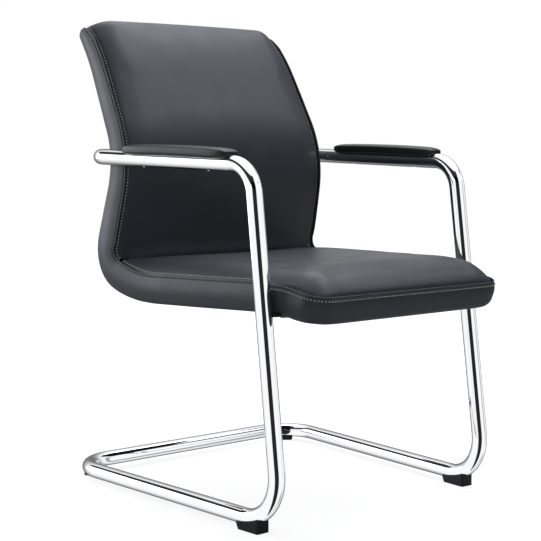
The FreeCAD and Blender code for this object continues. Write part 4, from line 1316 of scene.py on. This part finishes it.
@dataclass
class Studio:
    """A white cove: a pale floor, soft lamps, a bright surround with dark gaps that chrome mirrors."""

    camera_target: Spot = (0.0, 0.043, 0.424)
    camera_distance: float = 2.7494
    camera_azimuth: float = -39.5
    camera_elevation: float = 5.4
    camera_lens: float = 91.3
    floor_reach: float = 9.0
    floor_tone: str = "#a8a8a8"
    floor_roughness: float = 0.9
    glow_reach: Span = (0.5, 1.6)
    glow: Span = (0.84, 1.0)
    cove_sides: Span = (0.10, 0.7)
    cove_turn: Span = (0.2, 0.8)
    cove_rise: Span = (0.7, 1.35)
    cove_height: Span = (0.0, 0.5)
    mirrored_white: float = 1.15
    backdrop: float = 0.16
    backdrop_turn: Span = (-0.97, -0.3)
    backdrop_lift: float = 0.2
    gaps: tuple[Gap, ...] = (Gap(True, -143.0, (27.0, 27.0), 0.02, (-90.0, 35.0)),
                             Gap(True, 131.5, (8.0, 8.0), 0.4, (-90.0, 20.0)),
                             Gap(False, 35.0, (18.0, 6.5), 0.03, (-168.0, -3.0)),
                             Gap(False, 42.0, (12.0, 12.0), 0.03, (88.0, 142.0)))
    lamps: tuple[Softbox, ...] = (
        Softbox("front_softbox", (1.25, -0.8, 2.75), (0.0, 0.1, 0.6), size=2.0, watts=25.0),
        Softbox("left_softbox", (-2.0, 2.9, 1.0), (0.0, 0.1, 0.55), size=1.8, watts=30.0),
        Softbox("overhead_softbox", (0.7, 0.6, 2.8), (0.0, 0.1, 0.4), size=2.0, watts=33.0),
        Softbox("crossed_fill", (-2.0, -2.5, 1.1), (0.0, 0.1, 0.5), size=1.6, watts=11.0, shine=False))

    def build(self) -> None:
        """Set up the colour view, the surround, the floor, the lamps and the camera."""
        bpy.context.scene.view_settings.view_transform = "Standard"
        self.surround()
        self.floor()
        for lamp in self.lamps:
            lamp.build()
        self.camera()

    def surround(self) -> None:
        """White for the camera; white with dark gaps for mirrors; a dim cove, lighter behind, for the rest.

        What mirrors see also dims smoothly to the backdrop, away from the camera.
        """
        world = bpy.data.worlds.new("studio_surround")
        bpy.context.scene.world = world
        world.use_nodes = True
        tree = world.node_tree
        tree.nodes.clear()
        way = add_node(tree, "ShaderNodeTexCoord").outputs["Generated"]
        parts = add_node(tree, "ShaderNodeSeparateXYZ", {"Vector": way}).outputs
        height = worked(tree, "ARCSINE", parts["Z"])
        turn = worked(tree, "ARCTAN2", parts["X"], parts["Y"])
        camera_way = tuple(self.towards_camera() + (0.0, 0.0, self.backdrop_lift))
        facing = add_node(tree, "ShaderNodeVectorMath", {0: way, 1: camera_way}, operation="DOT_PRODUCT")
        mirrored = mapped(tree, facing.outputs["Value"], self.backdrop_turn,
                          (self.backdrop * self.mirrored_white, self.mirrored_white), smooth=True)
        for gap in self.gaps:
            mirrored = worked(tree, "MULTIPLY", mirrored, gap.light(tree, turn, height))
        cove = worked(tree, "MULTIPLY", mapped(tree, parts["Y"], self.cove_turn, self.cove_sides, smooth=True),
                      mapped(tree, parts["Z"], self.cove_height, self.cove_rise))
        path = add_node(tree, "ShaderNodeLightPath").outputs
        level = mixed(tree, path["Is Singular Ray"], cove, mirrored)
        level = mixed(tree, path["Is Camera Ray"], level, 1.0)
        glow = add_node(tree, "ShaderNodeBackground", {"Color": WHITE, "Strength": level})
        add_node(tree, "ShaderNodeOutputWorld", {"Surface": glow.outputs["Background"]})

    def floor(self) -> None:
        """A white floor that keeps the chair's shadow: diffuse, glowing for the camera, clear to mirrors."""
        mesh = bpy.data.meshes.new("studio_floor")
        corners = np.array([(-1, -1, 0), (1, -1, 0), (1, 1, 0), (-1, 1, 0)]) * self.floor_reach
        mesh.from_pydata(corners.tolist(), [], [(0, 1, 2, 3)])
        floor = add_object("studio_floor", mesh)
        material = bpy.data.materials.new("white_cove")
        material.use_nodes = True
        tree = material.node_tree
        shader = tree.nodes["Principled BSDF"]
        path = add_node(tree, "ShaderNodeLightPath").outputs
        place = add_node(tree, "ShaderNodeTexCoord").outputs["Object"]
        away = add_node(tree, "ShaderNodeVectorMath", {0: place}, operation="LENGTH").outputs["Value"]
        glow = mapped(tree, away, self.glow_reach, self.glow, smooth=True)
        set_inputs(tree, shader, {
            "Base Color": linear(self.floor_tone), "Roughness": self.floor_roughness, "Emission Color": WHITE,
            "Emission Strength": worked(tree, "MULTIPLY", path["Is Camera Ray"], glow)})
        clear = add_node(tree, "ShaderNodeBsdfTransparent")
        both = add_node(tree, "ShaderNodeMixShader", {0: path["Is Singular Ray"], 1: shader.outputs[0],
                                                      2: clear.outputs[0]})
        set_inputs(tree, tree.nodes["Material Output"], {"Surface": both.outputs[0]})
        mesh.materials.append(material)

    def towards_camera(self) -> Array:
        """The direction from the chair to the camera."""
        azimuth, elevation = math.radians(self.camera_azimuth), math.radians(self.camera_elevation)
        return np.array([math.sin(azimuth) * math.cos(elevation), -math.cos(azimuth) * math.cos(elevation),
                         math.sin(elevation)])

    def camera(self) -> None:
        """The camera at the photograph's viewing angle."""
        lens = bpy.data.cameras.new("photograph_view")
        lens.lens = self.camera_lens
        lens.sensor_width = 36.0
        camera = add_object("photograph_view", lens)
        camera.location = np.array(self.camera_target) + self.towards_camera() * self.camera_distance
        camera.rotation_euler = (QUARTER - math.radians(self.camera_elevation), 0.0,
                                 math.radians(self.camera_azimuth))
        bpy.context.scene.camera = camera


def main() -> None:
    """Dress the rigid pieces, build the upholstery and the pads, and set up the studio."""
    logging.basicConfig(level=logging.INFO, format="%(message)s")
    rigid = RigidPieces()
    rigid.dress()
    Upholstery().build(rigid.materials["charcoal_leather"], THREAD.material(), rigid.materials["lining_cloth"])
    for node in ("armrest_pad_right", "armrest_pad_left"):
        ArmPad(node).build(rigid.materials["black_plastic"])
    Studio().build()


if __name__ == "__main__":
    main()
